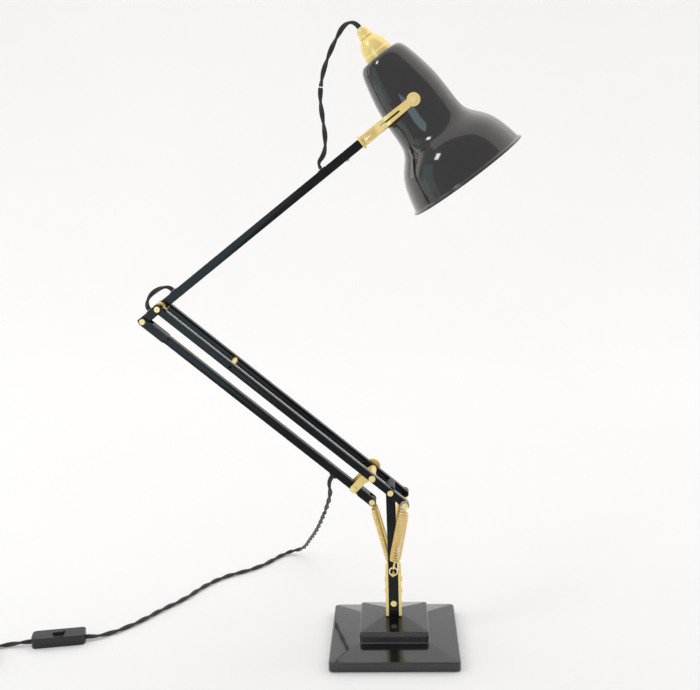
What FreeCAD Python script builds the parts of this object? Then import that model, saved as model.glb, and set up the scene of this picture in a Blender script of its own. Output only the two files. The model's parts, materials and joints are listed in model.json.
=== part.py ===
"""A spring-balanced desk lamp: stepped square base, post, two jointed arms, forked head and bell shade.

Millimetres, +Z up. The origin is the middle of the base's underside. The arms lie in the XZ plane:
the shade looks down towards +X, and -Y is the near side.
"""
import FreeCAD, Part
import Sketcher
import math
import os
from FreeCAD import Placement, Rotation, Vector

doc = FreeCAD.newDocument("desk_lamp")

# --- Driving sizes, in mm and degrees -----------------------------------------------------------
SIZES = {
    # base
    "base_side": 150, "base_corner": 5, "base_wall": 3, "plinth_high": 11.2, "step_side": 80.6,
    "step_foot": 18, "step_high": 31, "foot_high": 39, "foot_side": 20, "base_gap": 0.8,
    "pad_thick": 1.6, "pad_side": 142, "weight_side": 136, "weight_thick": 6, "spindle_dia": 10,
    "fit_gap": 0.05,
    # post
    "cheek_thick": 3.4, "cheek_high": 54.4, "block_wide": 11.8, "block_high": 46, "post_gap": 23,
    "post_thick": 3, "post_wide": 10.6, "post_bolt_z": 55, "post_bolt_dia": 5, "shoulder_x": -1.4,
    "shoulder_z": 194.5, "shoulder_dia": 5, "head_dia": 6.9, "head_high": 1.6,
    # lower arm
    "lower_angle": 40.5, "lower_length": 335.3, "bar_mid": 19, "bar_thick": 8, "bar_high": 8.2,
    "boss_dia": 10.8, "spring_pin_at": 21.6, "bar_tail": 5.2, "rocker_at": 27, "rocker_sleeve_dia": 8.4,
    "spacer_at": 103, "knob_dia": 18, "knob_high": 8.5,
    # parallelogram
    "rocker_length": 27, "rocker_thick": 1.6, "rocker_inside": 19.4, "rocker_wide": 9.5,
    "link_deep": 10.4, "link_high": 9.2, "plate_thick": 2.3, "plate_high": 10.4, "plate_long": 30.8,
    "link_pin_dia": 4.8, "open_pivot_gap": 0.35,
    # upper arm
    "upper_angle": 37.3, "upper_length": 361, "tube_side": 10, "tube_wall": 1.1, "fork_at": 289,
    "lever_tail": 4.6,
    # fork
    "flange_dia": 16, "flange_thick": 2.4, "spigot_dia": 7.6, "spigot_long": 42, "prong_thick": 2,
    "prong_root": 12, "prong_tip": 8.4, "prong_spread": 42.6, "ring_dia": 14.4, "ring_hole_dia": 6.2,
    # shade
    "shade_lean": 35.7, "shade_long": 158, "pivot_from_top": 58.5, "shade_wall": 1.0, "rim_bead": 1.5,
    "cap_foot_dia": 31.5, "cap_high": 24, "gland_dia": 13.6, "gland_high": 11, "bulb_dia": 60,
    # springs
    "front_spring_y": 24, "front_coil_dia": 13.8, "front_wire": 1.3, "anchor_x": 0.4, "anchor_z": 99.5,
    "rear_spring_y": 4.8, "rear_coil_dia": 8.8, "rear_wire": 1.1, "rear_anchor_z": 91,
    # cord
    "cord_dia": 5.6, "coil_dia": 62, "bush_high": 1.8,
    # switch on the lead and the plug
    "switch_long": 63, "switch_wide": 22, "switch_high": 13, "switch_split": 5.4, "key_long": 12,
    "key_wide": 8, "key_stands": 3.4, "plug_long": 36, "plug_wide": 26, "plug_high": 15.2,
}

sheet = doc.addObject("Spreadsheet::Sheet", "sizes")
for row, (alias, number) in enumerate(SIZES.items(), start=1):
    sheet.set(f"A{row}", alias)
    sheet.set(f"B{row}", str(number))
    sheet.setAlias(f"B{row}", alias)
doc.recompute()

parts = []                     # the sub-parts that are written out, in order
UPRIGHT = Vector(0, 0, 1)
NEAR_FAR = (("near", -1), ("far", 1))


def value(text):
    """What an expression over the sheet is worth, as a plain number."""
    found = sheet.evalExpression(text)
    return float(getattr(found, "Value", found))


def size(alias):
    """One driving size."""
    return value(f"sizes.{alias}")


# --- Small makers -------------------------------------------------------------------------------
def keep(obj, label):
    """Name a finished sub-part and put it on the list of pieces."""
    obj.Label = label
    parts.append(obj)
    return obj


def bind(obj, **sizes):
    """Tie properties to expressions over the sheet."""
    for name, text in sizes.items():
        obj.setExpression(name, text)
    return obj


def rod(name, dia, length, at=Vector(), axis=UPRIGHT):
    """A round bar from one end's centre along an axis."""
    obj = bind(doc.addObject("Part::Cylinder", name), Radius=f"({dia}) / 2", Height=length)
    obj.Placement = Placement(at, Rotation(UPRIGHT, axis))
    return obj


def cross_rod(name, dia, length, at, y=0):
    """A round bar along Y, with its middle at a point of the arm plane moved by y."""
    half = value(length) / 2
    return rod(name, dia, length, Vector(at.x, y - half, at.z), Vector(0, 1, 0))


def block(name, long, deep, high, place=Placement(), lift="0"):
    """A box centred on its own X and Y, standing on its own z = lift."""
    obj = bind(doc.addObject("Part::Box", name), Length=long, Width=deep, Height=high)
    middle = Vector(-value(long) / 2, -value(deep) / 2, value(lift))
    obj.Placement = place.multiply(Placement(middle, Rotation()))
    return obj


def ring(name, dia, wire, at, axis):
    """A closed round ring of wire."""
    obj = bind(doc.addObject("Part::Torus", name), Radius1=f"({dia}) / 2", Radius2=f"({wire}) / 2")
    obj.Placement = Placement(at, Rotation(UPRIGHT, axis))
    return obj


def joined(name, *shapes):
    """Several shapes fused into one."""
    obj = doc.addObject("Part::MultiFuse", name)
    obj.Shapes = list(shapes)
    return obj


def cut(name, base, *tools):
    """A shape with one or more others taken away."""
    obj = doc.addObject("Part::Cut", name)
    obj.Base = base
    obj.Tool = tools[0] if len(tools) == 1 else joined(name + "_tools", *tools)
    return obj


def group(name, *shapes):
    """Identical separate pieces that share one node."""
    obj = doc.addObject("Part::Compound", name)
    obj.Links = list(shapes)
    return obj


def computed(name, shape, place=Placement()):
    """A sub-part whose shape is worked out by Part's own functions."""
    obj = doc.addObject("Part::Feature", name)
    obj.Shape = shape
    obj.Placement = place
    return obj


def along(origin, direction, y=0):
    """A frame whose X runs along a direction of the arm plane."""
    turn = -math.degrees(math.atan2(direction.z, direction.x))
    return Placement(origin + Vector(0, y, 0), Rotation(Vector(0, 1, 0), turn))


def sketch_in(body, name, plane):
    """A new sketch on one of the body's own origin planes."""
    sketch = body.newObject("Sketcher::SketchObject", name)
    face = next(p for p in body.Origin.OriginFeatures if p.Role == plane)
    sketch.AttachmentSupport = [(face, "")]
    sketch.MapMode = "FlatFace"
    return sketch


def driven(sketch, constraint, text):
    """Add a measured constraint and tie it to an expression."""
    index = sketch.addConstraint(constraint)
    sketch.setExpression(f"Constraints[{index}]", text)


def slot_bar(label, length, high, thick, holes, place):
    """A flat bar with round ends, first end's centre at the origin and X along it.

    holes is a list of (distance along the bar, diameter), both expressions.
    """
    body = doc.addObject("PartDesign::Body", label)
    sketch = sketch_in(body, label + "_outline", "XZ_Plane")
    span = value(length)
    r = value(high) / 2
    quarter = math.pi / 2
    right_end = Part.Circle(Vector(span, 0, 0), UPRIGHT, r)
    left_end = Part.Circle(Vector(), UPRIGHT, r)
    sketch.addGeometry(Part.LineSegment(Vector(0, -r, 0), Vector(span, -r, 0)))
    sketch.addGeometry(Part.ArcOfCircle(right_end, -quarter, quarter))
    sketch.addGeometry(Part.LineSegment(Vector(span, r, 0), Vector(0, r, 0)))
    sketch.addGeometry(Part.ArcOfCircle(left_end, quarter, 3 * quarter))
    for first, second in ((0, 1), (1, 2), (2, 3), (3, 0)):
        sketch.addConstraint(Sketcher.Constraint("Tangent", first, 2, second, 1))
    sketch.addConstraint(Sketcher.Constraint("Coincident", 3, 3, -1, 1))
    sketch.addConstraint(Sketcher.Constraint("Horizontal", 0))
    driven(sketch, Sketcher.Constraint("Radius", 3, r), f"({high}) / 2")
    driven(sketch, Sketcher.Constraint("DistanceX", -1, 1, 1, 3, span), length)
    for x, dia in holes:
        at = value(x)
        hole = sketch.addGeometry(Part.Circle(Vector(at, 0, 0), UPRIGHT, value(dia) / 2))
        if at == 0:
            sketch.addConstraint(Sketcher.Constraint("Coincident", hole, 3, -1, 1))
        else:
            sketch.addConstraint(Sketcher.Constraint("PointOnObject", hole, 3, -1))
            driven(sketch, Sketcher.Constraint("DistanceX", -1, 1, hole, 3, at), x)
        driven(sketch, Sketcher.Constraint("Radius", hole, value(dia) / 2), f"({dia}) / 2")
    pad = body.newObject("PartDesign::Pad", label + "_pad")
    pad.Profile = sketch
    pad.Midplane = True
    pad.setExpression("Length", thick)
    body.Placement = place
    return body


def turned(label, outline, place=Placement()):
    """A body of revolution about its own Z: outline is a closed list of (radius, height) expressions."""
    body = doc.addObject("PartDesign::Body", label)
    sketch = sketch_in(body, label + "_outline", "XZ_Plane")
    points = [Vector(value(r), value(z), 0) for r, z in outline]
    count = len(points)
    for i in range(count):
        sketch.addGeometry(Part.LineSegment(points[i], points[(i + 1) % count]))
    for i in range(count):
        sketch.addConstraint(Sketcher.Constraint("Coincident", i, 2, (i + 1) % count, 1))
        for kind, number, text, axis in (
            ("DistanceX", points[i].x, outline[i][0], -2),
            ("DistanceY", points[i].y, outline[i][1], -1),
        ):
            if number == 0:
                sketch.addConstraint(Sketcher.Constraint("PointOnObject", i, 1, axis))
            else:
                driven(sketch, Sketcher.Constraint(kind, -1, 1, i, 1, number), text)
    turn = body.newObject("PartDesign::Revolution", label + "_turn")
    turn.Profile = sketch
    turn.ReferenceAxis = (sketch, ["V_Axis"])
    turn.Angle = 360
    body.Placement = place
    return body


def rounded_path(points):
    """Straight runs joined by tangent arcs, each arc as large as its two runs allow.

    Returns the wire and the list of arc radii.
    """
    edges = []
    radii = []
    start = points[0]
    for before, corner, after in zip(points, points[1:], points[2:]):
        back = before - corner
        ahead = after - corner
        shorter = min(back.Length, ahead.Length)
        turn = math.pi - back.getAngle(ahead)
        reach = 0.45 * shorter
        radius = reach / math.tan(turn / 2)
        back.normalize()
        ahead.normalize()
        enter = corner + back * reach
        leave = corner + ahead * reach
        inward = back + ahead
        inward.normalize()
        middle = corner + inward * (radius / math.cos(turn / 2) - radius)
        edges.append(Part.LineSegment(start, enter).toShape())
        edges.append(Part.Arc(enter, middle, leave).toShape())
        radii.append(radius)
        start = leave
    edges.append(Part.LineSegment(start, points[-1]).toShape())
    return Part.Wire(edges), radii


def cord(label, route, dia):
    """A round cord along a route of (x, y, z) points."""
    path, radii = rounded_path([Vector(*p) for p in route])
    heading = path.Edges[0].tangentAt(path.Edges[0].FirstParameter)
    section = Part.Wire([Part.makeCircle(dia / 2, Vector(*route[0]), heading)])
    solid = path.makePipeShell([section], True, False)
    expected = math.pi * dia * dia / 4 * path.Length
    print(f"{label}: length {path.Length:.1f}, radii", [round(r) for r in radii],
          f"volume ratio {solid.Volume / expected:.4f}")
    return keep(computed(label, solid), label)


# --- Where the pivots are -----------------------------------------------------------------------
LOW = Vector(-math.cos(math.radians(size("lower_angle"))), 0, math.sin(math.radians(size("lower_angle"))))
UP = Vector(math.cos(math.radians(size("upper_angle"))), 0, math.sin(math.radians(size("upper_angle"))))
SHOULDER = Vector(size("shoulder_x"), 0, size("shoulder_z"))
ELBOW = SHOULDER + LOW * size("lower_length")
LEVER_END = ELBOW - UP * size("rocker_length")
ROCKER_TOP = SHOULDER + LOW * size("rocker_at")
ROCKER_FOOT = ROCKER_TOP - UP * size("rocker_length")
LINK_FOOT = SHOULDER - UP * size("rocker_length")
SPRING_PIN = SHOULDER - LOW * size("spring_pin_at")
HEAD_PIVOT = ELBOW + UP * size("upper_length")
ANCHOR = Vector(size("anchor_x"), 0, size("anchor_z"))
REAR_ANCHOR = Vector(0, 0, size("rear_anchor_z"))
SHADE_DOWN = Vector(math.sin(math.radians(size("shade_lean"))), 0,
                    -math.cos(math.radians(size("shade_lean"))))
SHADE_TOP = HEAD_PIVOT - SHADE_DOWN * size("pivot_from_top")


# --- Base -----------------------------------------------------------------------------------------
def square_prism(name, side, low, high, corner=0.0):
    """A square block standing on the Z axis, its upright edges rounded if a corner radius is given."""
    box = block(name, side, side, f"({high}) - ({low})", lift=low)
    if not corner:
        return box
    doc.recompute()
    rounded = doc.addObject("Part::Fillet", name + "_round")
    rounded.Base = box
    upright = [i for i, edge in enumerate(box.Shape.Edges, start=1)
               if abs(edge.tangentAt(edge.FirstParameter).z) > 0.99]
    rounded.Edges = [(i, corner, corner) for i in upright]
    return rounded


def hipped_block(name, foot, top, low, high):
    """A square frustum with four sloping faces."""
    wedge = doc.addObject("Part::Wedge", name)
    bind(wedge, Xmin=f"-({foot}) / 2", Xmax=f"({foot}) / 2", Zmin=f"-({foot}) / 2", Zmax=f"({foot}) / 2",
         X2min=f"-({top}) / 2", X2max=f"({top}) / 2", Z2min=f"-({top}) / 2", Z2max=f"({top}) / 2",
         Ymin=low, Ymax=high)
    wedge.Placement = Placement(Vector(), Rotation(Vector(1, 0, 0), 90))
    return wedge


def make_base():
    """Stepped cover over an iron weight, on a thin pad, with the bush that the post turns in."""
    corner = size("base_corner")
    inset = "3.2"            # keeps the hips' sharp corners inside the rounded upright edges
    outer = joined(
        "cover_outside",
        square_prism("plinth", "sizes.base_side", "sizes.base_gap", "sizes.plinth_high", corner),
        hipped_block("plinth_slope", f"sizes.base_side - {inset}", "sizes.step_side", "sizes.plinth_high",
                     "sizes.step_foot"),
        square_prism("step", "sizes.step_side", "sizes.plinth_high", "sizes.step_high", corner * 0.7),
        hipped_block("step_slope", f"sizes.step_side - {inset}", "sizes.foot_side", "sizes.step_high",
                     "sizes.foot_high"),
    )
    wall = "sizes.base_wall"
    hollow = joined(
        "cover_inside",
        square_prism("plinth_hollow", f"sizes.base_side - 2 * {wall}", "0", f"sizes.plinth_high - {wall}",
                     corner / 2),
        hipped_block("slope_hollow", f"sizes.base_side - 4 * {wall}", f"sizes.step_side - 2 * {wall}",
                     f"sizes.plinth_high - {wall}", f"sizes.step_foot - {wall}"),
        square_prism("step_hollow", f"sizes.step_side - 2 * {wall}", f"sizes.plinth_high - {wall}",
                     f"sizes.step_high - {wall}"),
        rod("bush_hole", "sizes.spindle_dia + 4", "sizes.foot_high + 1"),
    )
    keep(cut("base_cover", outer, hollow), "base_cover")

    slab_top = "sizes.pad_thick + sizes.weight_thick"
    weight = joined(
        "weight_solid",
        square_prism("weight_slab", "sizes.weight_side", "sizes.pad_thick", slab_top),
        square_prism("weight_block", "sizes.step_side - 16", slab_top, "sizes.step_high - 9"),
    )
    nut_room = rod("nut_room", "30", "sizes.foot_high", Vector(0, 0, size("pad_thick")))
    screw_holes = [rod(f"weight_hole_{x}_{y}", "4.2", "sizes.foot_high", Vector(x, y, 0))
                   for x in (-55, 55) for y in (-55, 55)]
    keep(cut("base_weight", weight, nut_room, *screw_holes), "base_weight")

    pad = square_prism("pad_solid", "sizes.pad_side", "0", "sizes.pad_thick")
    pad_holes = [rod(f"pad_hole_{x}_{y}", "9", "sizes.pad_thick", Vector(x, y, 0))
                 for x in (-55, 55) for y in (-55, 55)]
    keep(cut("base_pad", pad, *pad_holes), "base_pad")

    screws = []
    for x in (-55, 55):
        for y in (-55, 55):
            foot = Vector(x, y, 0.6)
            head = rod(f"screw_head_{x}_{y}", "7.6", "sizes.pad_thick - 0.6", foot)
            shank = rod(f"screw_shank_{x}_{y}", "4.2", "sizes.plinth_high - sizes.base_wall - 0.6", foot)
            screws.append(joined(f"base_screw_{x}_{y}", head, shank))
    keep(group("base_screws", *screws), "base_screws")

    keep(turned("spindle_bush", [
        ("sizes.spindle_dia / 2 + sizes.fit_gap", "sizes.step_high - sizes.base_wall"),
        ("sizes.spindle_dia / 2 + 2", "sizes.step_high - sizes.base_wall"),
        ("sizes.spindle_dia / 2 + 2", "sizes.foot_high + 0.1"),
        ("sizes.spindle_dia / 2 + sizes.fit_gap", "sizes.foot_high + 0.1"),
    ]), "spindle_bush")


# --- Post: turns on the base ---------------------------------------------------------------------
POST_FOOT = 0.3              # running gap between the base's top and the post


def headed_pin(name, dia, half_span, at, head_dia="sizes.head_dia"):
    """A pin across the arm plane with a low round head at each end."""
    span = f"2 * ({half_span})"
    pieces = [cross_rod(name + "_shank", dia, span, at)]
    for side, sign in NEAR_FAR:
        middle = sign * (value(half_span) + size("head_high") / 2)
        pieces.append(cross_rod(f"{name}_head_{side}", head_dia, "sizes.head_high", at, middle))
    return joined(name, *pieces)


def make_post():
    """Two flat bars bolted to a block, between brass cheeks, with the spring anchors."""
    low = f"sizes.foot_high + {POST_FOOT}"
    foot = Vector(0, 0, value(low))
    bolt_at = Vector(0, 0, size("post_bolt_z"))

    keep(turned("spindle", [
        ("0", "sizes.step_foot + 1"), ("sizes.spindle_dia / 2 - 0.5", "sizes.step_foot + 1"),
        ("sizes.spindle_dia / 2", "sizes.step_foot + 1.5"), ("sizes.spindle_dia / 2", "sizes.foot_high + 10"),
        ("0", "sizes.foot_high + 10"),
    ]), "spindle")
    nut = doc.addObject("Part::Prism", "nut_solid")
    nut.Polygon = 6
    bind(nut, Circumradius="sizes.spindle_dia", Height="6")
    nut.Placement = Placement(Vector(0, 0, value("sizes.step_high - sizes.base_wall - 6.2")), Rotation())
    keep(cut("spindle_nut", nut, rod("nut_bore", "sizes.spindle_dia", "sizes.foot_high")), "spindle_nut")

    solid = block("block_solid", "sizes.block_wide", "sizes.post_gap", "sizes.block_high",
                  Placement(foot, Rotation()))
    bore = rod("block_bore", "sizes.spindle_dia", "10", Vector(0, 0, size("foot_high")))
    bolt_hole = cross_rod("block_bolt_hole", "sizes.post_bolt_dia", "60", bolt_at)
    rivets = [Vector(-20, 0, z) for z in (66, 80)]
    rivet_holes = [rod(f"block_rivet_hole_{p.z:.0f}", "4", "40", p, Vector(1, 0, 0)) for p in rivets]
    keep(cut("post_block", solid, bore, bolt_hole, *rivet_holes), "post_block")

    deep = "sizes.post_gap + 2 * sizes.post_thick"
    cheeks = []
    for side, sign in (("left", -1), ("right", 1)):
        x = sign * value("sizes.block_wide + sizes.cheek_thick") / 2
        plate = block(f"cheek_{side}_solid", "sizes.cheek_thick", deep, "sizes.cheek_high",
                      Placement(Vector(x, 0, foot.z), Rotation()))
        holes = [rod(f"cheek_{side}_hole_{p.z:.0f}", "4", "40", p, Vector(1, 0, 0)) for p in rivets]
        cheeks.append(cut(f"cheek_{side}", plate, *holes))
    keep(group("post_cheeks", *cheeks), "post_cheeks")

    half = value("sizes.block_wide / 2 + sizes.cheek_thick")
    riveted = []
    for p in rivets:
        shank = rod(f"rivet_shank_{p.z:.0f}", "4", "sizes.block_wide + 2 * sizes.cheek_thick",
                    Vector(-half, 0, p.z), Vector(1, 0, 0))
        heads = []
        for sign in (-1, 1):
            outward = Vector(sign, 0, 0)
            heads.append(rod(f"rivet_head_{p.z:.0f}_{sign}", "6.4", "1", p + outward * (half - sign * p.x),
                             outward))
        riveted.append(joined(f"rivet_{p.z:.0f}", shank, *heads))
    keep(group("cheek_rivets", *riveted), "cheek_rivets")

    rise = SHOULDER - bolt_at
    length = "hypot(sizes.shoulder_z - sizes.post_bolt_z; sizes.shoulder_x)"
    anchor_along = "sizes.rear_anchor_z - sizes.post_bolt_z"
    holes = [("0", "sizes.post_bolt_dia"), (anchor_along, "4"), (length, "sizes.shoulder_dia")]
    bars = []
    for side, sign in NEAR_FAR:
        y = sign * value("sizes.post_gap + sizes.post_thick") / 2
        bars.append(slot_bar(f"post_bar_{side}", length, "sizes.post_wide", "sizes.post_thick", holes,
                             along(bolt_at, rise, y)))
    keep(group("post_bars", *bars), "post_bars")

    outside = "sizes.post_gap / 2 + sizes.post_thick"
    keep(headed_pin("post_bolt", "sizes.post_bolt_dia", outside, bolt_at, "7.4"), "post_bolt")
    keep(cross_rod("rear_spring_anchor", "4", f"2 * ({outside}) + 0.8",
                   along(bolt_at, rise).multVec(Vector(value(anchor_along), 0, 0))), "rear_spring_anchor")

    eyes = []
    for side, sign in NEAR_FAR:
        centre = ANCHOR + Vector(0, sign * size("front_spring_y"), 0)
        loop = ring(f"eye_{side}_loop", "9.4", "1.6", centre, Vector(0, 1, 0))
        reach = size("front_spring_y") - value(outside)
        arm = rod(f"eye_{side}_arm", "2.4", f"{reach}",
                  Vector(centre.x, sign * value(outside), centre.z - 4.7), Vector(0, sign, 0))
        eyes.append(joined(f"eye_{side}", loop, arm))
    keep(group("front_spring_anchors", *eyes), "front_spring_anchors")

    sleeve = cross_rod("shoulder_sleeve_solid", "11", "sizes.post_gap", SHOULDER)
    sleeve_bore = cross_rod("shoulder_sleeve_bore", "sizes.shoulder_dia", "60", SHOULDER)
    keep(cut("shoulder_sleeve", sleeve, sleeve_bore), "shoulder_sleeve")
    bolt_half = "sizes.bar_mid + sizes.bar_thick / 2 + 0.1"
    keep(headed_pin("shoulder_bolt", "sizes.shoulder_dia", bolt_half, SHOULDER), "shoulder_bolt")


# --- Lower arm ------------------------------------------------------------------------------------
def make_lower_arm():
    """A near and a far bar held apart by a spacer, with the pins that the other links turn on."""
    face = "sizes.bar_mid + sizes.bar_thick / 2"
    inner = "sizes.bar_mid - sizes.bar_thick / 2"
    bore = "sizes.shoulder_dia + 2 * sizes.fit_gap"
    holes = [
        ("sizes.spacer_at", "3.4"),
        ("sizes.lower_length - sizes.rocker_at", "sizes.shoulder_dia"),
        ("sizes.lower_length", bore),
        ("sizes.lower_length + sizes.spring_pin_at", "4"),
    ]
    span = "sizes.lower_length + sizes.spring_pin_at + sizes.bar_tail - sizes.bar_high / 2"
    for side, sign in NEAR_FAR:
        name = f"lower_bar_{side}"
        y = sign * size("bar_mid")
        bar = slot_bar(name + "_flat", span, "sizes.bar_high", "sizes.bar_thick", holes,
                       along(ELBOW, LOW * -1, y))
        boss = cross_rod(name + "_boss", "sizes.boss_dia", "sizes.bar_thick", ELBOW, y)
        hole = cross_rod(name + "_elbow_hole", "sizes.link_pin_dia", "sizes.bar_thick", ELBOW, y)
        keep(cut(name, joined(name + "_solid", bar, boss), hole), name)

    at = ELBOW - LOW * size("spacer_at")
    keep(joined("arm_spacer", cross_rod("spacer_sleeve", "6.4", f"2 * ({inner})", at),
                cross_rod("spacer_ends", "3.4", f"2 * ({face})", at)), "arm_spacer")

    reach = value(face)
    bolt = cross_rod("rocker_bolt_shank", "sizes.shoulder_dia", f"2 * ({face}) + 6", ROCKER_TOP, 3)
    head = cross_rod("rocker_bolt_head", "7.7", "sizes.head_high", ROCKER_TOP, -reach - size("head_high") / 2)
    keep(joined("rocker_bolt", bolt, head), "rocker_bolt")

    pins = []
    for side, sign in NEAR_FAR:
        inside = cross_rod(f"spring_pin_{side}_root", "4", "sizes.bar_thick", SPRING_PIN,
                           sign * size("bar_mid"))
        outside = cross_rod(f"spring_pin_{side}_post", "6", "4.4", SPRING_PIN, sign * (reach + 2.2))
        cap = cross_rod(f"spring_pin_{side}_cap", "7.6", "1", SPRING_PIN, sign * (reach + 4.9))
        pins.append(joined(f"spring_pin_{side}", inside, outside, cap))
    keep(group("spring_pins", *pins), "spring_pins")

    keep(headed_pin("elbow_bolt", "sizes.link_pin_dia", face, ELBOW), "elbow_bolt")
    sleeves = []
    for side, sign in NEAR_FAR:
        wide = f"{inner} - sizes.tube_side / 2 - 0.25"
        y = sign * (value(inner) - value(wide) / 2)
        solid = cross_rod(f"elbow_sleeve_{side}_solid", "12.4", wide, ELBOW, y)
        hole = cross_rod(f"elbow_sleeve_{side}_bore", "sizes.link_pin_dia", wide, ELBOW, y)
        sleeves.append(cut(f"elbow_sleeve_{side}", solid, hole))
    keep(group("elbow_sleeves", *sleeves), "elbow_sleeves")

    keep(turned("tension_knob", [
        ("sizes.shoulder_dia / 2 + sizes.fit_gap", "0"), ("sizes.knob_dia / 2 - 0.8", "0"),
        ("sizes.knob_dia / 2", "0.8"), ("sizes.knob_dia / 2", "2.6"),
        ("sizes.knob_dia * 0.45", "sizes.knob_high * 0.55"),
        ("sizes.knob_dia * 0.32", "sizes.knob_high * 0.82"),
        ("sizes.knob_dia * 0.16", "sizes.knob_high * 0.96"), ("0", "sizes.knob_high"),
        ("0", "6.3"), ("sizes.shoulder_dia / 2 + sizes.fit_gap", "6.3"),
    ], Placement(ROCKER_TOP + Vector(0, reach + 0.2, 0), Rotation(UPRIGHT, Vector(0, 1, 0)))), "tension_knob")


# --- Rocker and link bar --------------------------------------------------------------------------
def make_rocker():
    """Brass hub and two cranked plates that hang the link bar from the lower arm."""
    inner = "sizes.bar_mid - sizes.bar_thick / 2"
    hub = cross_rod("rocker_hub", "sizes.rocker_sleeve_dia", f"2 * ({inner}) - 0.4", ROCKER_TOP)
    pieces = [hub]
    crank = ROCKER_FOOT + Vector(math.cos(math.radians(46.5)), 0, math.sin(math.radians(46.5))) * 15
    upper = ROCKER_TOP - crank
    for side, sign in NEAR_FAR:
        y = sign * value("sizes.rocker_inside + sizes.rocker_thick") / 2
        pieces.append(slot_bar(f"rocker_{side}_lower", "15", "sizes.rocker_wide", "sizes.rocker_thick", [],
                               along(ROCKER_FOOT, crank - ROCKER_FOOT, y)))
        pieces.append(slot_bar(f"rocker_{side}_upper", f"{upper.Length}", "sizes.rocker_sleeve_dia + 1",
                               "sizes.rocker_thick", [], along(crank, upper, y)))
    hub_bore = cross_rod("rocker_bore", "sizes.shoulder_dia + 2 * sizes.fit_gap", "60", ROCKER_TOP)
    foot_bore = cross_rod("rocker_foot_bore", "4", "60", ROCKER_FOOT)
    keep(cut("rocker_link", joined("rocker_solid", *pieces), hub_bore, foot_bore), "rocker_link")
    plates_half = "sizes.rocker_inside / 2 + sizes.rocker_thick"
    keep(headed_pin("rocker_screw", "4", plates_half, ROCKER_FOOT), "rocker_screw")


LEAD_EXIT_AT = 281           # along the link bar, from the elbow end to where the lead comes out


def make_link_bar():
    """Square tube parallel to the lower arm, with a clevis of two plates at each end."""
    line = LINK_FOOT - LEVER_END
    frame = along(LEVER_END, line)
    start = "9.6"
    long = f"sizes.lower_length - {start} - 6.5"
    middle = value(f"{start} + ({long}) / 2")
    deep = "sizes.link_deep"
    shift = frame.multiply(Placement(Vector(middle, 0, 0), Rotation()))
    outer = block("link_outside", long, deep, "sizes.link_high", shift, "-sizes.link_high / 2")
    wall = "sizes.tube_wall"
    hollow = block("link_inside", f"{long} + 2", f"{deep} - 2 * {wall}", f"sizes.link_high - 2 * {wall}",
                   shift,
                   f"{wall} - sizes.link_high / 2")
    screw_hole = cross_rod("link_screw_hole", "4 + 2 * sizes.fit_gap", "40", ROCKER_FOOT)
    pin_holes = [cross_rod(f"link_pin_hole_{i}", "sizes.link_pin_dia", "40", p)
                 for i, p in enumerate((LEVER_END, LINK_FOOT))]
    across = frame.Rotation.multVec(UPRIGHT)
    down = across * -1 if across.z > 0 else across
    mouth = frame.multVec(Vector(LEAD_EXIT_AT, 0, 0))
    lead_hole = rod("lead_hole", "8", "10", mouth, down)
    keep(cut("link_bar", outer, hollow, screw_hole, *pin_holes, lead_hole), "link_bar")

    plates = []
    for name, end, way, long_plate in (("upper", LEVER_END, line, "sizes.plate_long"),
                                       ("lower", LINK_FOOT, line * -1, "17")):
        for side, sign in NEAR_FAR:
            y = sign * value(f"({deep} + sizes.plate_thick) / 2")
            plates.append(slot_bar(f"link_plate_{name}_{side}", long_plate, "sizes.plate_high",
                                   "sizes.plate_thick", [("0", "sizes.link_pin_dia")], along(end, way, y)))
    keep(group("link_plates", *plates), "link_plates")

    outside = f"({deep}) / 2 + sizes.plate_thick"
    keep(group("link_pins", headed_pin("link_pin_upper", "sizes.link_pin_dia", outside, LEVER_END),
               headed_pin("link_pin_lower", "sizes.link_pin_dia", outside, LINK_FOOT)), "link_pins")

    skin = mouth + down * (size("link_high") / 2 - size("tube_wall"))
    shell = rod("grommet_neck", "8", "3.1", skin, down)
    lip = rod("grommet_lip", "10", "1.8", skin + down * size("tube_wall"), down)
    bore = rod("grommet_bore", "sizes.cord_dia", "8", skin - down * 2, down)
    keep(cut("lead_grommet", joined("grommet_solid", shell, lip), bore), "lead_grommet")
    return skin + down * 3.1, down


# --- Upper arm ------------------------------------------------------------------------------------
HEAD_CORD_IN = 238           # along the tube from the elbow to where the head's cord goes in
ELBOW_CORD_OUT = 22          # and to where it comes out again above the elbow


def tube_top_hole(name, at, dia):
    """A drill through the tube's upper wall."""
    above = Vector(-UP.z, 0, UP.x)
    return rod(name, dia, "12", ELBOW + UP * at, above)


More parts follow.
